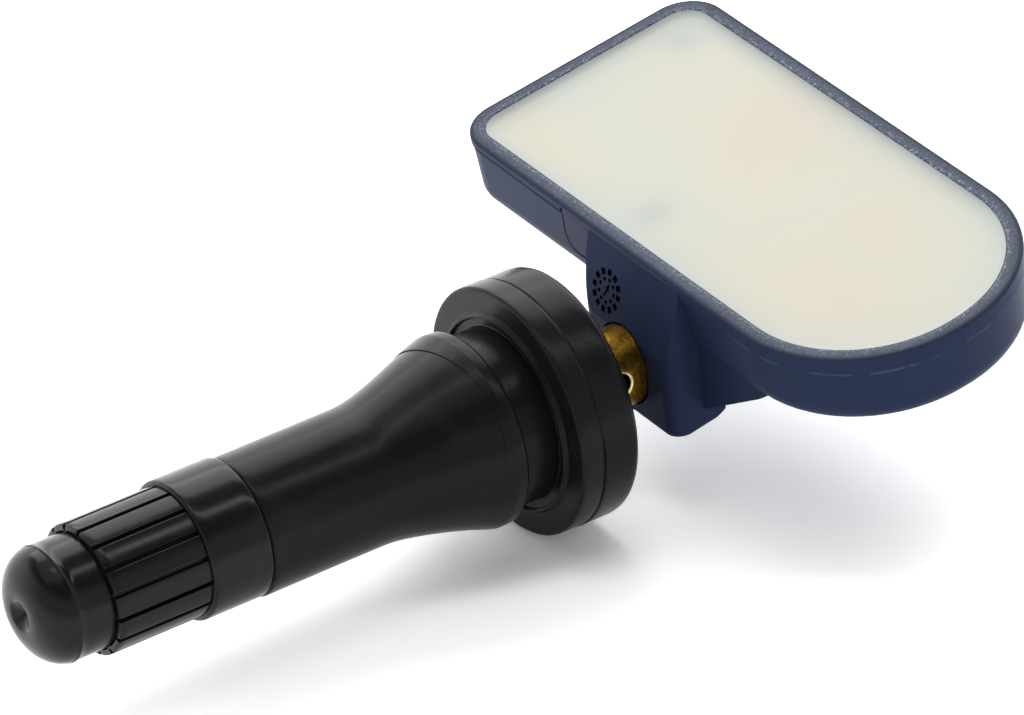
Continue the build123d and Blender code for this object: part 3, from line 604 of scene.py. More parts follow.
def turned_brass(finishes, insert):
    """Turned brass: yellow metal with fine rings from the lathe, browned by handling, with painted glints
    along the rings and a painted highlight on the port's fresh-cut edge.
    """
    finish, tree, shader = new_finish("turned_brass", {"Metallic": 1.0})
    place = add(tree, "ShaderNodeTexCoord").outputs["Object"]
    stain = add(tree, "ShaderNodeTexNoise", {
        "Vector": place, "Scale": per_mm(0.9), "Detail": 6.0, "Roughness": 0.7,
    })
    brown = add(tree, "ShaderNodeMapRange", {"Value": stain.outputs[0], "From Min": 0.35, "From Max": 0.7})
    aged = add(tree, "ShaderNodeMix", {
        0: brown.outputs[0], 6: finishes.brass, 7: finishes.brass_tarnish,
    }, data_type="RGBA")

    # The lathe's rings are about 0.05 mm apart, too fine to show, so they are drawn at 0.1 mm
    stretch = add(tree, "ShaderNodeMapping", {"Vector": place, "Scale": (1.0, 0.3, 0.3)})
    rings = add(tree, "ShaderNodeTexNoise", {
        "Vector": stretch.outputs[0], "Scale": per_mm(0.1), "Detail": 4.0,
    })
    # Painted glints in pale brass, as specks along the rings
    glint_specks = add(tree, "ShaderNodeMapRange", {
        "Value": rings.outputs[0], "From Min": 0.52, "From Max": 0.68, "To Max": 0.45,
    })
    glinting = add(tree, "ShaderNodeMix", {
        0: glint_specks.outputs[0], 6: aged.outputs[2], 7: finishes.brass_painted_glint,
    }, data_type="RGBA")

    # The port's countersunk edge in the flat: fresh-cut brass, made paler still as a painted highlight
    flattened = add(tree, "ShaderNodeVectorMath", {0: place, 1: (1.0, 0.0, 1.0)}, operation="MULTIPLY")
    from_port = add(tree, "ShaderNodeVectorMath", {
        0: flattened.outputs[0], 1: (insert.port_place, 0.0, insert.port_rise),
    }, operation="DISTANCE")
    edge_reach = insert.port_radius + insert.port_edge_width
    at_port = add(tree, "ShaderNodeMapRange", {
        "Value": from_port.outputs["Value"],
        "From Min": edge_reach, "From Max": edge_reach - insert.port_edge_width / 4,
    })
    across = add(tree, "ShaderNodeSeparateXYZ", {0: place})
    outside = add(tree, "ShaderNodeMath", {
        0: across.outputs["Y"], 1: 2 * insert.port_edge_depth - insert.flat_place,
    }, operation="LESS_THAN")
    on_edge = add(tree, "ShaderNodeMath", {
        0: at_port.outputs[0], 1: outside.outputs[0],
    }, operation="MULTIPLY")
    tone = add(tree, "ShaderNodeMix", {
        0: on_edge.outputs[0], 6: glinting.outputs[2], 7: finishes.brass_cut_and_highlight,
    }, data_type="RGBA")
    gloss = add(tree, "ShaderNodeMapRange", {"Value": stain.outputs[0], "To Min": 0.22, "To Max": 0.45})
    bump = add(tree, "ShaderNodeBump", {"Height": rings.outputs[0], "Strength": 0.6, "Distance": 0.03 * MM})
    link_surface(tree, shader, tone, gloss, bump)
    return finish


def parting_line_shade_and_highlight(tree, place, local, tray):
    """Painted shade along the parting line on the near wall beyond the insert's mark, and a painted highlight
    where it has flash.
    """
    back, along, height = local.outputs
    line_core, line_edge = 0.08 * MM, 0.18 * MM
    line = add(tree, "ShaderNodeMath", {
        0: along, 1: -math.tan(tray.band_lean), 2: height,
    }, operation="MULTIPLY_ADD")
    off_line = add(tree, "ShaderNodeMath", {0: line.outputs[0], 1: tray.band_height}, operation="ADD")
    from_line = add(tree, "ShaderNodeMath", {0: off_line.outputs[0]}, operation="ABSOLUTE")
    on_line = add(tree, "ShaderNodeMapRange", {
        "Value": from_line.outputs[0], "From Min": line_edge, "From Max": line_core,
    })
    beyond_mark = add(tree, "ShaderNodeMath", {0: along, 1: tray.mark_place}, operation="GREATER_THAN")
    on_near_side = add(tree, "ShaderNodeMapRange", {
        "Value": back, "From Min": tray.width / 2, "From Max": tray.width / 4,
    })
    at_end = add(tree, "ShaderNodeMapRange", {
        "Value": along, "From Min": -tray.flash_start, "From Max": -tray.flash_full,
    })
    broken = add(tree, "ShaderNodeTexNoise", {"Vector": place, "Scale": per_mm(1.4), "Detail": 4.0})
    kept = add(tree, "ShaderNodeMapRange", {"Value": broken.outputs[0], "From Min": 0.45, "From Max": 0.55})
    # Painted shadow under the band's step, and a painted highlight on the flash towards the round end
    dark = flash = on_line
    for limit in (beyond_mark, on_near_side):
        dark = add(tree, "ShaderNodeMath", {0: dark.outputs[0], 1: limit.outputs[0]}, operation="MULTIPLY")
    for limit in (at_end, kept):
        flash = add(tree, "ShaderNodeMath", {0: flash.outputs[0], 1: limit.outputs[0]}, operation="MULTIPLY")
    return dark, flash


def insert_mark_shade(tree, local, tray):
    """Painted shade of the hairline that a mould insert left, down the near wall and turning in to the
    bracket.
    """
    back, along, height = local.outputs
    wall_middle, wall_reach = 0.2 * MM, 0.24 * MM
    slope = tray.mark_lean / (tray.mark_foot - tray.mark_start)
    beyond_side = add(tree, "ShaderNodeMath", {0: height, 1: slope, 2: along}, operation="MULTIPLY_ADD")
    past_side = add(tree, "ShaderNodeMath", {
        0: beyond_side.outputs[0], 1: tray.mark_round - tray.mark_place + slope * tray.mark_start,
    }, operation="ADD")
    past_foot = add(tree, "ShaderNodeMath", {
        0: tray.mark_round - tray.mark_foot, 1: height,
    }, operation="SUBTRACT")
    past = add(tree, "ShaderNodeCombineXYZ", {"X": past_side.outputs[0], "Y": past_foot.outputs[0]})
    past_corner = add(tree, "ShaderNodeVectorMath", {
        0: past.outputs[0], 1: (0.0, 0.0, 0.0),
    }, operation="MAXIMUM")
    from_corner = add(tree, "ShaderNodeVectorMath", {0: past_corner.outputs[0]}, operation="LENGTH")
    from_mark = add(tree, "ShaderNodeMath", {
        0: from_corner.outputs["Value"], 1: tray.mark_round + tray.mark_width / 2,
    }, operation="SUBTRACT")
    off_mark = add(tree, "ShaderNodeMath", {0: from_mark.outputs[0]}, operation="ABSOLUTE")
    mark = add(tree, "ShaderNodeMapRange", {
        "Value": off_mark.outputs[0], "From Min": tray.mark_width * 0.6, "From Max": tray.mark_width * 0.3,
    })
    on_wall = add(tree, "ShaderNodeMath", {0: back, 1: wall_middle, 2: wall_reach}, operation="COMPARE")
    beside = add(tree, "ShaderNodeMath", {0: along, 1: tray.bracket_side}, operation="GREATER_THAN")
    below_rim = add(tree, "ShaderNodeMath", {0: height, 1: -tray.mark_start}, operation="LESS_THAN")
    for limit in (on_wall, beside, below_rim):
        mark = add(tree, "ShaderNodeMath", {0: mark.outputs[0], 1: limit.outputs[0]}, operation="MULTIPLY")
    return mark


def sunk_dial_shade(tree, place, tray):
    """Painted shade in the sunk dial: what lies below the bracket's leaning front, round the dial's middle."""
    shallow, deep = 0.02 * MM, 0.06 * MM
    round_margin, lean_margin = 0.15 * MM, 0.05 * MM
    top = tray_frame(tray) @ Vector((tray.band_step, 0.0, -tray.bracket_top_drop))
    lean = top - Vector((tray.bracket_face, 0.0, tray.bracket_lean_height))
    facing = Vector((-lean.z, 0.0, lean.x)).normalized()
    share = (tray.dial_height - tray.bracket_lean_height) / lean.z
    middle = Vector((tray.bracket_face + lean.x * share, tray.dial_left, tray.dial_height))
    from_middle = add(tree, "ShaderNodeVectorMath", {0: place, 1: middle}, operation="SUBTRACT")
    depth = add(tree, "ShaderNodeVectorMath", {
        0: from_middle.outputs[0], 1: facing,
    }, operation="DOT_PRODUCT")
    dial = add(tree, "ShaderNodeMapRange", {
        "Value": depth.outputs["Value"], "From Min": -shallow, "From Max": -deep,
    })
    reach = add(tree, "ShaderNodeVectorMath", {0: from_middle.outputs[0]}, operation="LENGTH")
    inside = add(tree, "ShaderNodeMath", {
        0: reach.outputs["Value"], 1: tray.dial_radius + round_margin,
    }, operation="LESS_THAN")
    over_axis = add(tree, "ShaderNodeSeparateXYZ", {0: place})
    on_lean = add(tree, "ShaderNodeMath", {
        0: over_axis.outputs["Z"], 1: tray.bracket_lean_height + lean_margin,
    }, operation="GREATER_THAN")
    for limit in (inside, on_lean):
        dial = add(tree, "ShaderNodeMath", {0: dial.outputs[0], 1: limit.outputs[0]}, operation="MULTIPLY")
    return dial


def moulded_navy_plastic(finishes, tray):
    """Moulded glass-filled PBT: satin navy walls with painted shade in the moulded marks and along the parting
    line, a painted highlight on the flash and a slate rim.
    """
    finish, tree, shader = new_finish("moulded_navy_pbt", {"IOR": 1.1})
    place = add(tree, "ShaderNodeTexCoord").outputs["Object"]
    flow = add(tree, "ShaderNodeTexNoise", {"Vector": place, "Scale": per_mm(6.0), "Detail": 5.0})
    wall = add(tree, "ShaderNodeMix", {
        0: flow.outputs[0], 6: finishes.navy, 7: finishes.navy_bloom,
    }, data_type="RGBA")
    on_tray = add(tree, "ShaderNodeMapping", {
        "Vector": place, "Location": tray.place, "Rotation": (0.0, -tray.tilt, 0.0),
    }, vector_type="TEXTURE")
    local = add(tree, "ShaderNodeSeparateXYZ", {0: on_tray.outputs[0]})

    line_painted_shade, flash = parting_line_shade_and_highlight(tree, place, local, tray)
    # Painted shade in the sunk dial, along the hairline and along the parting line
    shaded = sunk_dial_shade(tree, place, tray)
    for mark in (insert_mark_shade(tree, local, tray), line_painted_shade):
        shaded = add(tree, "ShaderNodeMath", {0: shaded.outputs[0], 1: mark.outputs[0]}, operation="MAXIMUM")
    with_painted_shade = add(tree, "ShaderNodeMix", {
        0: shaded.outputs[0], 6: wall.outputs[2], 7: finishes.navy_painted_shade,
    }, data_type="RGBA")
    flash_highlighted = add(tree, "ShaderNodeMix", {
        0: flash.outputs[0], 6: with_painted_shade.outputs[2], 7: finishes.navy_flash_highlight,
    }, data_type="RGBA")

    # The rim is slate above a ragged edge
    ragged_reach, slate_start, slate_full = 0.4 * MM, 0.05 * MM, 0.11 * MM
    ragged = add(tree, "ShaderNodeTexNoise", {"Vector": place, "Scale": per_mm(0.5), "Detail": 3.0})
    edge = add(tree, "ShaderNodeMath", {
        0: ragged.outputs[0], 1: ragged_reach, 2: local.outputs["Z"],
    }, operation="MULTIPLY_ADD")
    rim = add(tree, "ShaderNodeMapRange", {
        "Value": edge.outputs[0], "From Min": slate_start, "From Max": slate_full,
    })
    tone = add(tree, "ShaderNodeMix", {
        0: rim.outputs[0], 6: flash_highlighted.outputs[2], 7: finishes.rim,
    }, data_type="RGBA")
    gloss = add(tree, "ShaderNodeMapRange", {"Value": shaded.outputs[0], "To Min": 0.36, "To Max": 0.8})
    skin = add(tree, "ShaderNodeTexNoise", {"Vector": place, "Scale": per_mm(0.3), "Detail": 3.0})
    bump = add(tree, "ShaderNodeBump", {"Height": skin.outputs[0], "Strength": 0.25, "Distance": 0.02 * MM})
    link_surface(tree, shader, tone, gloss, bump)
    return finish


def trimmed_rim(finishes):
    """Trimmed PBT rim: rough slate in a fine grain, with painted shade in its pits and bright specks, most
    beside the fill.

    The cut glass fibres are about 0.01 mm thick, too fine to show, so grain and specks are 0.2 mm and more.
    """
    finish, tree, shader = new_finish("trimmed_navy_rim", {"IOR": 1.2})
    place = add(tree, "ShaderNodeTexCoord").outputs["Object"]
    wear = add(tree, "ShaderNodeAttribute", attribute_name="wear").outputs["Fac"]
    grain = add(tree, "ShaderNodeTexNoise", {
        "Vector": place, "Scale": per_mm(0.3), "Detail": 4.0, "Roughness": 0.7,
    })
    patch = add(tree, "ShaderNodeTexNoise", {"Vector": place, "Scale": per_mm(2.5), "Detail": 2.0})
    uneven = add(tree, "ShaderNodeMath", {
        0: patch.outputs[0], 1: 0.5, 2: grain.outputs[0],
    }, operation="MULTIPLY_ADD")
    worn = add(tree, "ShaderNodeMath", {0: wear, 1: 0.36, 2: uneven.outputs[0]}, operation="MULTIPLY_ADD")
    pale = add(tree, "ShaderNodeMapRange", {"Value": worn.outputs[0], "From Min": 0.76, "From Max": 1.1})
    grainy = add(tree, "ShaderNodeMix", {
        0: pale.outputs[0], 6: finishes.rim, 7: finishes.rim_scuff,
    }, data_type="RGBA")
    specks = add(tree, "ShaderNodeTexNoise", {
        "Vector": place, "Scale": per_mm(0.2), "Detail": 2.0, "Roughness": 0.6,
    })
    at_fill = add(tree, "ShaderNodeMapRange", {
        "Value": wear, "From Min": 0.6, "From Max": 1.0, "To Max": 0.12,
    })
    bright = add(tree, "ShaderNodeMath", {0: specks.outputs[0], 1: at_fill.outputs[0]}, operation="ADD")
    lit = add(tree, "ShaderNodeMapRange", {
        "Value": bright.outputs[0], "From Min": 0.64, "From Max": 0.76, "To Max": 0.55,
    })
    sparkling = add(tree, "ShaderNodeMix", {
        0: lit.outputs[0], 6: grainy.outputs[2], 7: finishes.rim_speck,
    }, data_type="RGBA")
    # Painted shade in the rim's pits
    pits = add(tree, "ShaderNodeMapRange", {
        "Value": specks.outputs[0], "From Min": 0.36, "From Max": 0.26, "To Max": 0.7,
    })
    tone = add(tree, "ShaderNodeMix", {
        0: pits.outputs[0], 6: sparkling.outputs[2], 7: finishes.navy_painted_shade,
    }, data_type="RGBA")
    gloss = add(tree, "ShaderNodeMapRange", {"Value": pale.outputs[0], "To Min": 0.45, "To Max": 0.65})
    bump = add(tree, "ShaderNodeBump", {"Height": specks.outputs[0], "Strength": 0.5, "Distance": 0.05 * MM})
    link_surface(tree, shader, tone, gloss, bump)
    return finish


def cast_potting(finishes):
    """Cast polyurethane: soft cream with slow warm and cool mottling, bluish where thin over the navy."""
    finish, tree, shader = new_finish("cast_cream_polyurethane", {"IOR": 1.5})
    place = add(tree, "ShaderNodeTexCoord").outputs["Object"]
    slow = add(tree, "ShaderNodeTexNoise", {"Vector": place, "Scale": per_mm(14.0), "Detail": 2.0})
    cool = add(tree, "ShaderNodeMapRange", {"Value": slow.outputs[0], "From Min": 0.55, "From Max": 0.3})
    warm = add(tree, "ShaderNodeMapRange", {"Value": slow.outputs[0], "From Min": 0.5, "From Max": 0.75})
    cooled = add(tree, "ShaderNodeMix", {
        0: cool.outputs[0], 6: finishes.fill, 7: finishes.fill_cool,
    }, data_type="RGBA")
    mottled = add(tree, "ShaderNodeMix", {
        0: warm.outputs[0], 6: cooled.outputs[2], 7: finishes.fill_warm,
    }, data_type="RGBA")
    thin = add(tree, "ShaderNodeAttribute", attribute_name="thinness")
    tone = add(tree, "ShaderNodeMix", {
        0: thin.outputs["Fac"], 6: mottled.outputs[2], 7: finishes.fill_thin,
    }, data_type="RGBA")
    gloss = add(tree, "ShaderNodeMapRange", {"Value": slow.outputs[0], "To Min": 0.38, "To Max": 0.55})
    skin = add(tree, "ShaderNodeTexNoise", {"Vector": place, "Scale": per_mm(1.2), "Detail": 3.0})
    bump = add(tree, "ShaderNodeBump", {"Height": skin.outputs[0], "Strength": 0.2, "Distance": 0.02 * MM})
    link_surface(tree, shader, tone, gloss, bump)
    return finish


def plain_finish(name, dark, light, grain, roughness, metallic=0.0):
    """Finish of an inner part: two close colours and a varying gloss, in a grain of so many millimetres."""
    gloss_spread = 0.08
    finish, tree, shader = new_finish(name, {"Metallic": metallic})
    place = add(tree, "ShaderNodeTexCoord").outputs["Object"]
    mottle = add(tree, "ShaderNodeTexNoise", {"Vector": place, "Scale": per_mm(grain), "Detail": 4.0})
    tone = add(tree, "ShaderNodeMix", {
        0: mottle.outputs[0], 6: linear(dark), 7: linear(light),
    }, data_type="RGBA")
    gloss = add(tree, "ShaderNodeMapRange", {
        "Value": mottle.outputs[0], "To Min": roughness - gloss_spread, "To Max": roughness + gloss_spread,
    })
    bump = add(tree, "ShaderNodeBump", {"Height": mottle.outputs[0], "Strength": 0.3, "Distance": 0.01 * MM})
    link_surface(tree, shader, tone, gloss, bump)
    return finish


class SENSOR_OT_inner_parts(bpy.types.Operator):
    """Finish the parts inside: valve core, screw, seals, board and what is on it."""

    bl_idname = "sensor.inner_parts"
    bl_label = "Inner parts"

    def execute(self, context):
        finishes = {
            "brass": turned_brass(context.scene.sensor_finishes, context.scene.sensor_insert),
            "core_steel": plain_finish("drawn_steel_wire", "#8E8F90", "#B9BABB", 0.4, 0.28, metallic=1.0),
            "seal_rubber": plain_finish("moulded_nitrile_rubber", "#141414", "#212121", 0.6, 0.6),
            "screw_steel": plain_finish("zinc_plated_steel", "#A3A6AA", "#C9CBCD", 0.5, 0.3, metallic=1.0),
            "board": plain_finish("green_solder_mask", "#1C5A35", "#2A6E43", 0.8, 0.4),
            "chip_plastic": plain_finish("moulded_black_epoxy", "#17181A", "#232426", 0.2, 0.55),
            "filter_felt": plain_finish("porous_white_membrane", "#D4D4D0", "#EDEDEA", 0.15, 0.8),
            "can_metal": plain_finish("drawn_nickel_silver", "#A8A8A5", "#CBCBC8", 0.6, 0.3, metallic=1.0),
            "ferrite": plain_finish("sintered_ferrite", "#2F3032", "#424346", 0.2, 0.65),
            "copper": plain_finish("enamelled_copper_wire", "#9C4F28", "#C87747", 0.25, 0.3, metallic=1.0),
            "ceramic": plain_finish("fired_tan_ceramic", "#9C8763", "#B9A27B", 0.3, 0.5),
            "cell_can": plain_finish("nickel_plated_can", "#B4B4B2", "#D6D6D4", 1.0, 0.25, metallic=1.0),
            "tab_steel": plain_finish("nickel_strip", "#A9A79F", "#CBC9C1", 0.4, 0.33, metallic=1.0),
        }
        for node in frame["nodes"].values():
            slot = node.data.materials[0].name
            if slot in finishes:
                node.data.materials[0] = finishes[slot]
        return {"FINISHED"}


class SENSOR_OT_core_spring(bpy.types.Operator):
    """Make the valve core's spring as one merged piece; nothing here shortens it as the pin is pressed in."""

    bl_idname = "sensor.core_spring"
    bl_label = "Core spring"

    def execute(self, context):
        node = frame["nodes"]["core_spring"]
        shape = bmesh.new()
        shape.from_mesh(node.data)
        bmesh.ops.remove_doubles(shape, verts=shape.verts, dist=0.001 * MM)
        spring = as_piece("wound_core_spring", shape, sharp_degrees=40)
        spring.data.materials.append(node.data.materials[0])
        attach(spring, "stem")
        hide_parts("core_spring")
        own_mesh(spring)
        return {"FINISHED"}


class SENSOR_OT_rubber_stem(bpy.types.Operator):
    """Make the rubber stem: flange with its parting groove, lip, rim groove, bulb and flared shank."""

    bl_idname = "sensor.rubber_stem"
    bl_label = "Rubber stem"

    def execute(self, context):
        stem = context.scene.sensor_stem
        insert_radius = context.scene.sensor_insert.radius
        soft = 0.1 * MM
        tolerance = soft / 10
        lip_top = stem.lip_radius - stem.lip_lean
        lip_root = lip_top - 2 * stem.lip_width
        lip_wave_rate = 2.2
        groove_floor = stem.flange_radius - stem.groove_depth
        ridge = stem.neck_length + stem.bulb_ridge
        flare_start = stem.neck_length + stem.bulb_band
        flare_radius = stem.bulb_radius - stem.bulb_step
        flare_slope = math.tan(stem.flare_angle)
        flare_end = flare_start + stem.flare_length
        start_handle = stem.flare_length * stem.flare_start_fullness
        end_handle = stem.flare_length * stem.flare_end_fullness
        skin = rounded([
            (stem.flange_thickness, insert_radius, 0),
            (stem.flange_thickness, stem.flange_radius, stem.flange_back_round),
            (stem.groove_place + stem.groove_width / 2, stem.flange_radius, soft / 2),
            (stem.groove_place, groove_floor, soft / 4),
            (stem.groove_place - stem.groove_width / 2, stem.flange_radius, soft / 2),
            (0.0, stem.flange_radius, stem.flange_front_round),
            (0.0, stem.lip_radius, stem.lip_foot),
            (-stem.lip_height, lip_top, stem.lip_edge),
            (-stem.lip_height, lip_top - stem.lip_width, stem.lip_edge),
            (0.0, lip_root, soft),
            (0.0, stem.neck_radius, soft),
            (-stem.neck_length, stem.neck_radius, soft),
            (-stem.neck_length, stem.bulb_radius, stem.bulb_round),
            (-ridge, stem.bulb_radius, stem.bulb_ridge_round),
            (-flare_start, flare_radius + stem.crease_step, 0),
            (-flare_start, flare_radius, 0),
        ])
        skin += bezier(
            (-flare_start, flare_radius),
            (-flare_start - start_handle, flare_radius - start_handle * flare_slope),
            (-flare_end + end_handle, stem.shank_radius),
            (-flare_end, stem.shank_radius),
        )
        skin += rounded([
            (-flare_end, stem.shank_radius, 0),
            (-stem.rubber_length, stem.shank_radius, stem.end_round),
            (-stem.rubber_length, insert_radius, 0),
        ])
        bore = [
            (-stem.collar_place - stem.collar_length, insert_radius),
            (-stem.collar_place - stem.collar_length, stem.collar_radius),
            (-stem.collar_place, stem.collar_radius),
            (-stem.collar_place, insert_radius),
        ]

        def groove_opened(angle):
            """Share of the flange's groove that is open on a side."""
            away = abs((angle - stem.groove_faint_side + math.pi) % math.tau - math.pi)
            opened = min(1.0, (away / stem.groove_faint_reach) ** 2)
            return stem.groove_faint + (1.0 - stem.groove_faint) * opened

        def crease_shown(angle):
            """Share of the crease that shows on a side: all about its crown, hardly any a quarter turn on."""
            gain, cut = 2.0, 0.3
            return min(1.0, max(stem.crease_faint, gain * math.cos(angle - stem.crease_crown) - cut))

        def uneven(x, radius, angle):
            """The mould's halves sit a little apart, the lip's edge waves and the shank hangs a little."""
            if radius <= insert_radius + soft:
                return x, radius, 0.0
            lift = 0.0
            around = Vector((math.cos(angle), math.sin(angle), 0.0))
            wave = noise.noise(Vector((x, radius * around.x, radius * around.y)) * per_mm(5.0))
            reach = radius + stem.skin_wave * (wave - 1.0)
            if radius > stem.lip_radius + 2 * soft:
                if abs(x - stem.groove_place) < stem.groove_width:
                    reach += (stem.flange_radius - radius) * (1.0 - groove_opened(angle))
                lift = stem.mould_shift / 2 if x < stem.groove_place else -stem.mould_shift / 2
                reach -= stem.mould_shift / 2
            elif -stem.neck_length < x < 0.0 and radius > lip_root:
                x *= 1.0 - stem.lip_wave * (1.0 - noise.noise(around * lip_wave_rate))
            elif x < -ridge:
                if abs(x + flare_start) < tolerance and radius > flare_radius + tolerance:
                    reach -= stem.crease_step * (1.0 - crease_shown(angle))
                hang = max(0.0, min(1.0, (-x - flare_start) / (stem.sag_place - flare_start)))
                lift = -stem.shank_sag * math.sin(hang * math.pi / 2) ** 2
                followed = max(0.0, min(
                    (-x - ridge) / (flare_start - ridge),
                    (stem.crease_reach + x) / (stem.crease_reach - flare_start),
                ))
                swing = stem.crease_spread * followed * (1.0 - math.cos(2.0 * (angle - stem.crease_side)))
                x -= swing
                reach -= flare_slope * swing
            return x, reach, lift

        shape = turned(divided([*skin, *bore], step=0.5 * MM), segments=224, shaped=uneven)
        piece = as_piece("moulded_rubber_stem", shape, sharp_degrees=50)
        piece.data.materials.append(moulded_rubber(context.scene.sensor_finishes))
        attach(piece, "stem")
        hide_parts("rubber_stem")
        return {"FINISHED"}


class SENSOR_OT_stem_insert(bpy.types.Operator):
    """Make the brass insert: valve thread, bores, collar, milled flat and air port."""

    bl_idname = "sensor.stem_insert"
    bl_label = "Brass insert"

    def execute(self, context):
        insert = context.scene.sensor_insert
        stem = context.scene.sensor_stem
        tip, end = INSERT_LOW.x, INSERT_HIGH.x
        core_end = tip + insert.core_bore_depth
        thread_end = tip + insert.thread_length
        collar_end = -stem.collar_place - stem.collar_length
        edge = insert.end_edge
        rings_per_turn = 10
        ring_step = insert.thread_pitch / rings_per_turn
        rings = round((insert.thread_length - insert.chamfer) / ring_step)
        path = [
            (insert.bore_end, 0.0),
            (insert.bore_end, insert.bore_radius),
            (core_end + insert.seat_length, insert.bore_radius),
            (core_end, insert.core_bore_radius),
            (tip, insert.core_bore_radius),
            (tip, insert.thread_radius - insert.chamfer),
            (tip + insert.chamfer, insert.thread_radius),
            *((tip + insert.chamfer + ring_step * ring, insert.thread_radius) for ring in range(1, rings)),
            (thread_end, insert.thread_radius),
            (thread_end, insert.radius),
            (collar_end, insert.radius),
            (collar_end, stem.collar_radius),
            (-stem.collar_place, stem.collar_radius),
            (-stem.collar_place, insert.radius),
            (end - edge, insert.radius),
            (end, insert.radius - edge),
            (end, insert.tap_radius),
            (end - insert.tap_depth, insert.tap_radius),
            (end - insert.tap_depth, 0.0),
        ]

        def threaded(x, radius, angle):
            """Crests and roots of the thread run round the tip, fading out at both of its ends."""
            if radius < insert.thread_radius or x > thread_end:
                return x, radius, 0.0
            turn = (x / insert.thread_pitch - angle / math.tau) % 1.0
            fade = min(1.0, (thread_end - x) / insert.thread_pitch, (x - tip) / insert.chamfer)
            return x, radius - insert.thread_depth * fade * (1.0 - abs(2.0 * turn - 1.0)), 0.0

        piece = as_piece("brass_valve_insert", turned(path, segments=144, shaped=threaded), sharp_degrees=30)
        flat = bmesh.new()
        bmesh.ops.create_cube(flat, size=1.0, matrix=Matrix.LocRotScale(
            ((stem.flange_thickness + end + edge) / 2, -insert.flat_place - insert.radius, 0.0), None,
            (end - stem.flange_thickness + edge, 2 * insert.radius, 4 * insert.radius),
        ))
        port = turned([
            (0.0, 0.0),
            (0.0, insert.port_radius),
            (insert.flat_place - insert.port_edge_depth, insert.port_radius),
            (insert.flat_place, insert.port_radius + insert.port_edge_width),
            (insert.flat_place + insert.port_edge_depth, insert.port_radius + 2 * insert.port_edge_width),
            (insert.flat_place + insert.port_edge_depth, 0.0),
        ], segments=64)
        to_port = Matrix.Translation((insert.port_place, 0.0, insert.port_rise))
        to_flat = to_port @ Matrix.Rotation(-math.pi / 2, 4, "Z")
        bmesh.ops.transform(port, matrix=to_flat, verts=port.verts)
        for name, cutting in (("flat_cutter", flat), ("port_cutter", port)):
            cutter = as_piece(name, cutting, sharp_degrees=30)
            cut = piece.modifiers.new(name, "BOOLEAN")
            cut.operation = "DIFFERENCE"
            cut.solver = "EXACT"
            cut.object = cutter
            apply_modifiers(piece)
            bpy.data.objects.remove(cutter)
        piece.data.shade_smooth()
        piece.data.set_sharp_from_angle(angle=math.radians(30))
        piece.data.materials.clear()
        piece.data.materials.append(bpy.data.materials["turned_brass"])
        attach(piece, "stem")
        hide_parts("stem_insert")
        return {"FINISHED"}


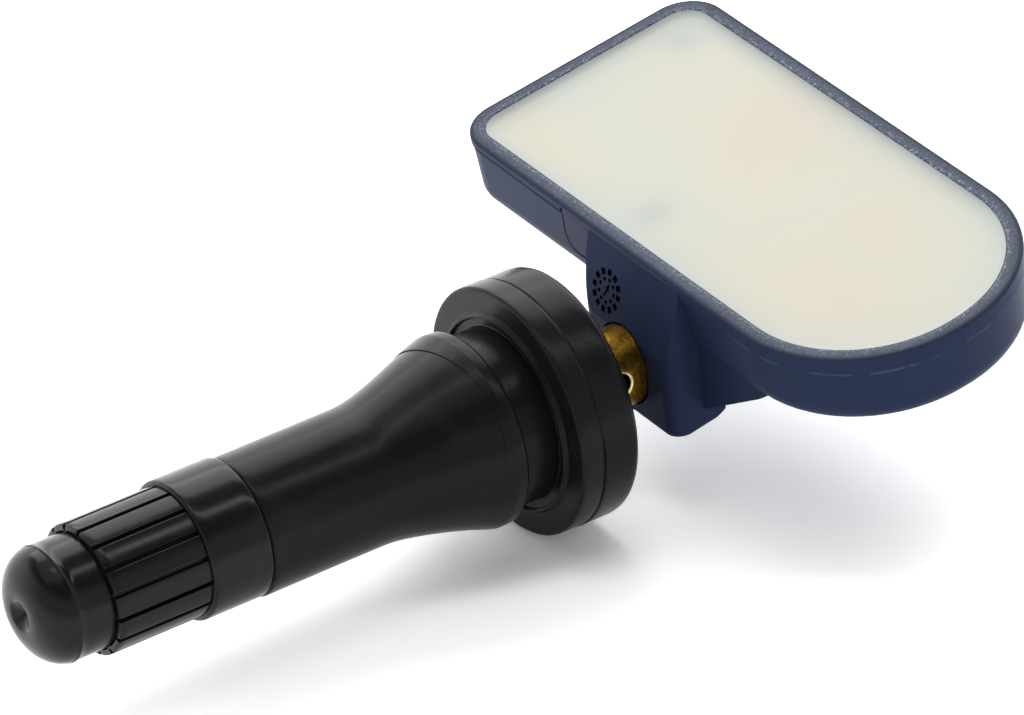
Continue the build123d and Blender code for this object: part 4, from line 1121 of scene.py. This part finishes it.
class SENSOR_OT_valve_cap(bpy.types.Operator):
    """Make the valve cap: a turned body with its bore and dimpled dome, and ribs round its grip."""

    bl_idname = "sensor.valve_cap"
    bl_label = "Valve cap"

    def execute(self, context):
        cap = context.scene.sensor_cap
        mouth, tip = CAP_HIGH.x, CAP_LOW.x
        skirt_end = mouth - cap.skirt_length
        grip_end = skirt_end - cap.grip_length
        nose_end = grip_end - cap.nose_length
        floor_radius = cap.grip_radius - cap.groove_depth
        soft = 0.08 * MM
        crease = cap.crease_width / 2
        dome_start = cap.dome_flat_radius + 4 * soft
        outside = [(tip + cap.dimple_depth + cap.pit_depth, 0.0)]
        outside += rounded([
            (tip + cap.dimple_depth + cap.pit_depth, cap.pit_radius, 0),
            (tip + cap.dimple_depth, cap.pit_radius, soft),
            (tip, cap.dome_flat_radius, 4 * soft),
            (tip, dome_start, 0),
        ])
        outside += bezier(
            (tip, dome_start),
            (tip, (cap.nose_radius + cap.dome_flat_radius) / 2),
            (nose_end - cap.dome_height * cap.dome_fullness, cap.nose_radius * cap.dome_shoulder),
            (nose_end - crease, cap.nose_radius),
        )
        outside += rounded([
            (nose_end - crease, cap.nose_radius, 0),
            (nose_end, cap.nose_radius + cap.crease_height, soft),
            (nose_end + crease, cap.nose_radius, 0),
            (grip_end, cap.nose_radius, 0),
            (grip_end, floor_radius, 0),
            (skirt_end, floor_radius, 0),
            (skirt_end, cap.skirt_radius, cap.skirt_round),
            (mouth, cap.skirt_radius, 2 * soft),
            (mouth, cap.mouth_radius, soft),
            (mouth - cap.mouth_depth, cap.mouth_radius, 0),
            (mouth - cap.mouth_depth, cap.bore_radius, 0),
            (SEAL_LOW.x, cap.bore_radius, 0),
            (SEAL_LOW.x, 0.0, 0),
        ])

        def uneven(x, radius, angle):
            """Moulded skin that shrank a little unevenly, inside its nominal size."""
            if radius <= cap.mouth_radius and x > nose_end + crease:
                return x, radius, 0.0
            point = Vector((x, radius * math.cos(angle), radius * math.sin(angle)))
            return x, radius + cap.skin_wave * (noise.noise(point * per_mm(4.0)) - 1.0), 0.0

        finish = moulded_cap_plastic(context.scene.sensor_finishes)
        shape = turned(divided(outside, step=0.6 * MM), segments=192, shaped=uneven)
        body = as_piece("ribbed_cap_body", shape, sharp_degrees=40)
        body.data.materials.append(finish)

        # One rib, with its points closer together where its sides and its free end round off
        rib_middle = math.pi / cap.rib_count
        rib_angle = 2 * rib_middle - cap.groove_width / cap.grip_radius
        rib_foot = floor_radius - soft
        rib_under = floor_radius - 2 * soft
        end_round = 2 * cap.rib_round
        across = [-0.5, -0.47, -0.43, *(-0.4 + 0.1 * step for step in range(9)), 0.43, 0.47, 0.5]
        places = [grip_end + end_round * share for share in (0.0, 0.2, 0.5, 1.0)]
        places += [grip_end + (skirt_end - grip_end) * step / 12 for step in range(1, 13)]
        rib = bmesh.new()
        rows = []
        for x in places:
            end_rise = quarter_round((x - grip_end) / end_round)
            row = []
            for share in across:
                from_side = (0.5 - abs(share)) * rib_angle * cap.grip_radius
                rise = quarter_round(from_side / cap.rib_round) * end_rise
                row.append((rib_foot + (cap.grip_radius - rib_foot) * rise, share))
            row += [(rib_under, 0.5), (rib_under, -0.5)]
            rows.append([rib.verts.new((
                x,
                radius * math.cos(rib_middle + share * rib_angle),
                radius * math.sin(rib_middle + share * rib_angle),
            )) for radius, share in row])
        stitch(rib, rows)
        rib.faces.new(rows[0])
        rib.faces.new(rows[-1])
        ribs = as_piece("cap_grip_ribs", rib, sharp_degrees=60)
        apply_nodes(ribs, around_axis(), {"Count": cap.rib_count, "Finish": finish})
        for piece in (body, ribs):
            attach(piece, "cap")
            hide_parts("valve_cap")
        return {"FINISHED"}


class SENSOR_OT_tray(bpy.types.Operator):
    """Finish the navy tray and lay the ragged moulding flash along its parting line."""

    bl_idname = "sensor.tray"
    bl_label = "Sensor tray"

    def execute(self, context):
        tray = context.scene.sensor_tray
        finish = moulded_navy_plastic(context.scene.sensor_finishes, tray)
        frame["nodes"]["sensor_housing"].data.materials[0] = finish
        line = bmesh.new()
        to_frame = tray_frame(tray)
        ring = []
        for point in tray_ring(tray, tray.band_step):
            point.z = -tray.band_height + point.y * math.tan(tray.band_lean)
            ring.append(line.verts.new(to_frame @ point))
        for start, end in zip(ring, [*ring[1:], ring[0]]):
            line.edges.new((start, end))
        mesh = bpy.data.meshes.new("tray_parting_flash")
        line.to_mesh(mesh)
        line.free()
        flash = bpy.data.objects.new("tray_parting_flash", mesh)
        context.scene.collection.objects.link(flash)
        apply_nodes(flash, ragged_line(), {
            "Size": tray.flash_size, "Grain": per_mm(3.0), "Finish": finish,
        })
        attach(flash, "stem")
        return {"FINISHED"}


class SENSOR_OT_rim(bpy.types.Operator):
    """Lay the rough skin of the trimmed rim on the tray, from its outer edge over the inner one."""

    bl_idname = "sensor.rim"
    bl_label = "Tray rim"

    def execute(self, context):
        tray = context.scene.sensor_tray
        film = tray.rim_film
        to_frame = tray_frame(tray)
        flat_end = tray.wall - tray.rim_round

        # Rows across the rim: inset from the outline, height and wear, which grows towards the fill
        rows = [(tray.rim_round - 2 * film, -2 * film, 0.0)]
        flat_steps = 10
        for step in range(flat_steps + 1):
            share = step / flat_steps
            raised = film * (2.0 * min(1.0, 4.0 * share) - 1.0)
            rows.append((tray.rim_round + (flat_end - tray.rim_round) * share, raised, share))
        for degrees in (25, 50, 75):
            turn = math.radians(degrees)
            inset = flat_end + (tray.rim_round + film) * math.sin(turn)
            rows.append((inset, film - tray.rim_round * (1.0 - math.cos(turn)), 1.0))

        shape = bmesh.new()
        wear = shape.verts.layers.float.new("wear")
        rings = []
        for inset, height, worn in rows:
            ring = []
            for point in tray_ring(tray, inset, height, corner_steps=80, side_steps=240):
                point.z += film * worn * noise.noise(point * per_mm(0.6))
                vertex = shape.verts.new(to_frame @ point)
                vertex[wear] = worn
                ring.append(vertex)
            rings.append(ring)
        stitch(shape, [*rings, rings[0]])
        skin = as_piece("trimmed_rim_skin", shape, sharp_degrees=80)
        skin.data.materials.append(trimmed_rim(context.scene.sensor_finishes))
        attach(skin, "stem")
        return {"FINISHED"}


class SENSOR_OT_potting(bpy.types.Operator):
    """Make the cream fill: it clings to the wall, sinks to its level and lies in slow waves."""

    bl_idname = "sensor.potting"
    bl_label = "Potting"

    def execute(self, context):
        tray = context.scene.sensor_tray
        to_frame = tray_frame(tray)
        middle = Vector((tray.width / 2, tray.reach - tray.length / 2, 0.0))
        # Rings of the fill: millimetres from the wall, then shares of the way out from the middle
        near_wall = [0.0, 0.05, 0.12, 0.22, 0.36, 0.55, 0.8]
        further_in = [0.95, 0.89, 0.82, 0.74, 0.65, 0.55, 0.45, 0.35, 0.25, 0.15, 0.06]
        # Bluish blotches over what lies close below the fill: place on the tray's plane and reach
        blotches = ((4.4 * MM, 3.7 * MM, 1.7 * MM), (18.7 * MM, 19.1 * MM, 1.8 * MM))
        edge_thinness, blotch_thinness = 0.75, 0.55
        shape = bmesh.new()
        thinness = shape.verts.layers.float.new("thinness")

        def placed(point, from_wall):
            """Vertex of the fill's surface at a point of the tray's plane, so far from the wall."""
            cling = (tray.fill_drop - tray.fill_edge_drop) * math.exp(-from_wall / tray.fill_cling)
            point.z = -tray.fill_drop + cling + tray.fill_wave * noise.noise(point * per_mm(9.0))
            vertex = shape.verts.new(to_frame @ point)
            thin = edge_thinness * math.exp(-from_wall / tray.fill_thin_edge)
            for x, y, reach in blotches:
                thin += blotch_thinness * math.exp(-((point.x - x) ** 2 + (point.y - y) ** 2) / reach ** 2)
            vertex[thinness] = min(1.0, thin)
            return vertex

        rings = [[shape.verts.new(to_frame @ point) for point in tray_ring(tray, tray.wall, -tray.fill_foot)]]
        for inset in near_wall:
            rings.append([placed(point, inset * MM) for point in tray_ring(tray, tray.wall + inset * MM)])
        inner_inset = near_wall[-1] * MM
        inner = tray_ring(tray, tray.wall + inner_inset)
        for share in further_in:
            rings.append([
                placed(middle.lerp(point, share), inner_inset + (1.0 - share) * (point - middle).length)
                for point in inner
            ])
        rings.append([placed(middle.copy(), tray.width / 2)] * len(inner))
        stitch(shape, rings)
        shape.faces.new(rings[0])
        piece = as_piece("cast_potting_fill", shape, sharp_degrees=60)
        piece.data.materials.append(cast_potting(context.scene.sensor_finishes))
        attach(piece, "stem")
        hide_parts("potting")
        return {"FINISHED"}


class SENSOR_OT_stage(bpy.types.Operator):
    """Set the pale floor, the soft studio light and the camera."""

    bl_idname = "sensor.stage"
    bl_label = "Stage"

    def execute(self, context):
        scene = context.scene
        stage = scene.sensor_stage
        scene.view_settings.view_transform = "Standard"
        self.lay_floor(scene, stage)
        self.light_room(scene, stage)
        self.hang_lamps(scene, stage)
        self.place_camera(scene, stage)
        return {"FINISHED"}

    def lay_floor(self, scene, stage):
        """Floor of matt paper, exposed a little more for the eye than for the light it gives back."""
        ground = bmesh.new()
        bmesh.ops.create_circle(ground, cap_ends=True, segments=96, radius=stage.floor_radius)
        bmesh.ops.translate(ground, vec=(0.0, 0.0, RUBBER_LOW.z), verts=ground.verts)
        floor = as_piece("floor", ground, sharp_degrees=30)
        paper, tree, shader = new_finish("pale_paper_floor")
        tree.nodes.remove(shader)
        ray = add(tree, "ShaderNodeLightPath").outputs
        seen = add(tree, "ShaderNodeMath", {
            0: ray["Is Camera Ray"], 1: ray["Is Glossy Ray"],
        }, operation="MAXIMUM")
        seen_through = add(tree, "ShaderNodeMath", {
            0: seen.outputs[0], 1: ray["Is Transmission Ray"],
        }, operation="MAXIMUM")
        exposed = add(tree, "ShaderNodeMapRange", {
            "Value": seen_through.outputs[0], "To Min": 1.0, "To Max": stage.floor_glow,
        })
        white = add(tree, "ShaderNodeVectorMath", {
            0: scene.sensor_finishes.floor[:3], "Scale": exposed.outputs[0],
        }, operation="SCALE")
        shown = add(tree, "ShaderNodeBsdfDiffuse", {"Color": white.outputs[0]})
        tree.links.new(shown.outputs[0], tree.nodes["Material Output"].inputs["Surface"])
        floor.data.materials.append(paper)

    def light_room(self, scene, stage):
        """White room: its walls are brighter towards the back, and its ceiling is dark."""
        towards_back = (0.3, 0.95, 0.0)
        world = bpy.data.worlds.new("soft_studio")
        world.use_nodes = True
        scene.world = world
        tree = world.node_tree
        background = tree.nodes["Background"]
        background.inputs["Color"].default_value = (1.0, 1.0, 1.0, 1.0)
        direction = add(tree, "ShaderNodeTexCoord").outputs["Generated"]
        back = add(tree, "ShaderNodeVectorMath", {0: direction, 1: towards_back}, operation="DOT_PRODUCT")
        walls = add(tree, "ShaderNodeMapRange", {
            "Value": back.outputs["Value"], "From Min": -0.2, "From Max": 0.5,
            "To Min": stage.front_light, "To Max": stage.back_light,
        })
        up = add(tree, "ShaderNodeSeparateXYZ", {0: direction})
        ceiling = add(tree, "ShaderNodeMapRange", {
            "Value": up.outputs["Z"], "From Min": 0.45, "From Max": 0.62,
        })
        room = add(tree, "ShaderNodeMix", {
            0: ceiling.outputs[0], 2: walls.outputs[0], 3: stage.ceiling_light,
        }, data_type="FLOAT")
        tree.links.new(room.outputs[0], background.inputs["Strength"])

    def hang_lamps(self, scene, stage):
        """Soft lamps, each facing the origin."""
        for name, place, extent, power in LAMPS:
            lamp = bpy.data.lights.new(name, "AREA")
            lamp.shape = "RECTANGLE"
            lamp.size, lamp.size_y = extent
            lamp.energy = getattr(stage, power)
            holder = bpy.data.objects.new(name, lamp)
            facing = Vector(place).to_track_quat("Z", "X")
            holder.matrix_world = Matrix.LocRotScale(Vector(place), facing, None)
            scene.collection.objects.link(holder)

    def place_camera(self, scene, stage):
        """Camera at the photograph's viewing angle."""
        lens = bpy.data.cameras.new("camera")
        lens.sensor_fit = "HORIZONTAL"
        lens.lens = stage.camera_lens
        lens.clip_start = 10 * MM
        camera = bpy.data.objects.new("camera", lens)
        view = (
            Matrix.Rotation(stage.camera_azimuth, 4, "Z")
            @ Matrix.Rotation(math.pi / 2 - stage.camera_elevation, 4, "X")
            @ Matrix.Rotation(stage.camera_roll, 4, "Z")
        )
        camera.matrix_world = Matrix.Translation(stage.camera_place) @ view
        scene.collection.objects.link(camera)
        scene.camera = camera


class SENSOR_PT_sensor(bpy.types.Panel):
    """Sidebar panel that lists the steps."""

    bl_idname = "SENSOR_PT_sensor"
    bl_label = "Tyre pressure sensor"
    bl_space_type = "VIEW_3D"
    bl_region_type = "UI"
    bl_category = "Sensor"

    def draw(self, context):
        for operator in OPERATORS:
            self.layout.operator(operator.bl_idname)


GROUPS = {
    "sensor_stem": StemSizes,
    "sensor_insert": InsertSizes,
    "sensor_cap": CapSizes,
    "sensor_tray": TraySizes,
    "sensor_finishes": Finishes,
    "sensor_stage": StageSizes,
}
OPERATORS = (
    SENSOR_OT_inner_parts,
    SENSOR_OT_core_spring,
    SENSOR_OT_rubber_stem,
    SENSOR_OT_stem_insert,
    SENSOR_OT_valve_cap,
    SENSOR_OT_tray,
    SENSOR_OT_rim,
    SENSOR_OT_potting,
    SENSOR_OT_stage,
)


def register():
    for kind in (*GROUPS.values(), *OPERATORS, SENSOR_PT_sensor):
        bpy.utils.register_class(kind)
    for name, kind in GROUPS.items():
        setattr(bpy.types.Scene, name, PointerProperty(type=kind))


def unregister():
    for name in GROUPS:
        delattr(bpy.types.Scene, name)
    for kind in (SENSOR_PT_sensor, *reversed(OPERATORS), *reversed(GROUPS.values())):
        bpy.utils.unregister_class(kind)


def main():
    kept = {*frame["nodes"].values(), *frame["bodies"].values()}
    for item in set(bpy.data.objects) - kept:
        bpy.data.objects.remove(item)
    register()
    for operator in OPERATORS:
        group, step = operator.bl_idname.split(".")
        getattr(getattr(bpy.ops, group), step)()


if __name__ == "__main__":
    main()
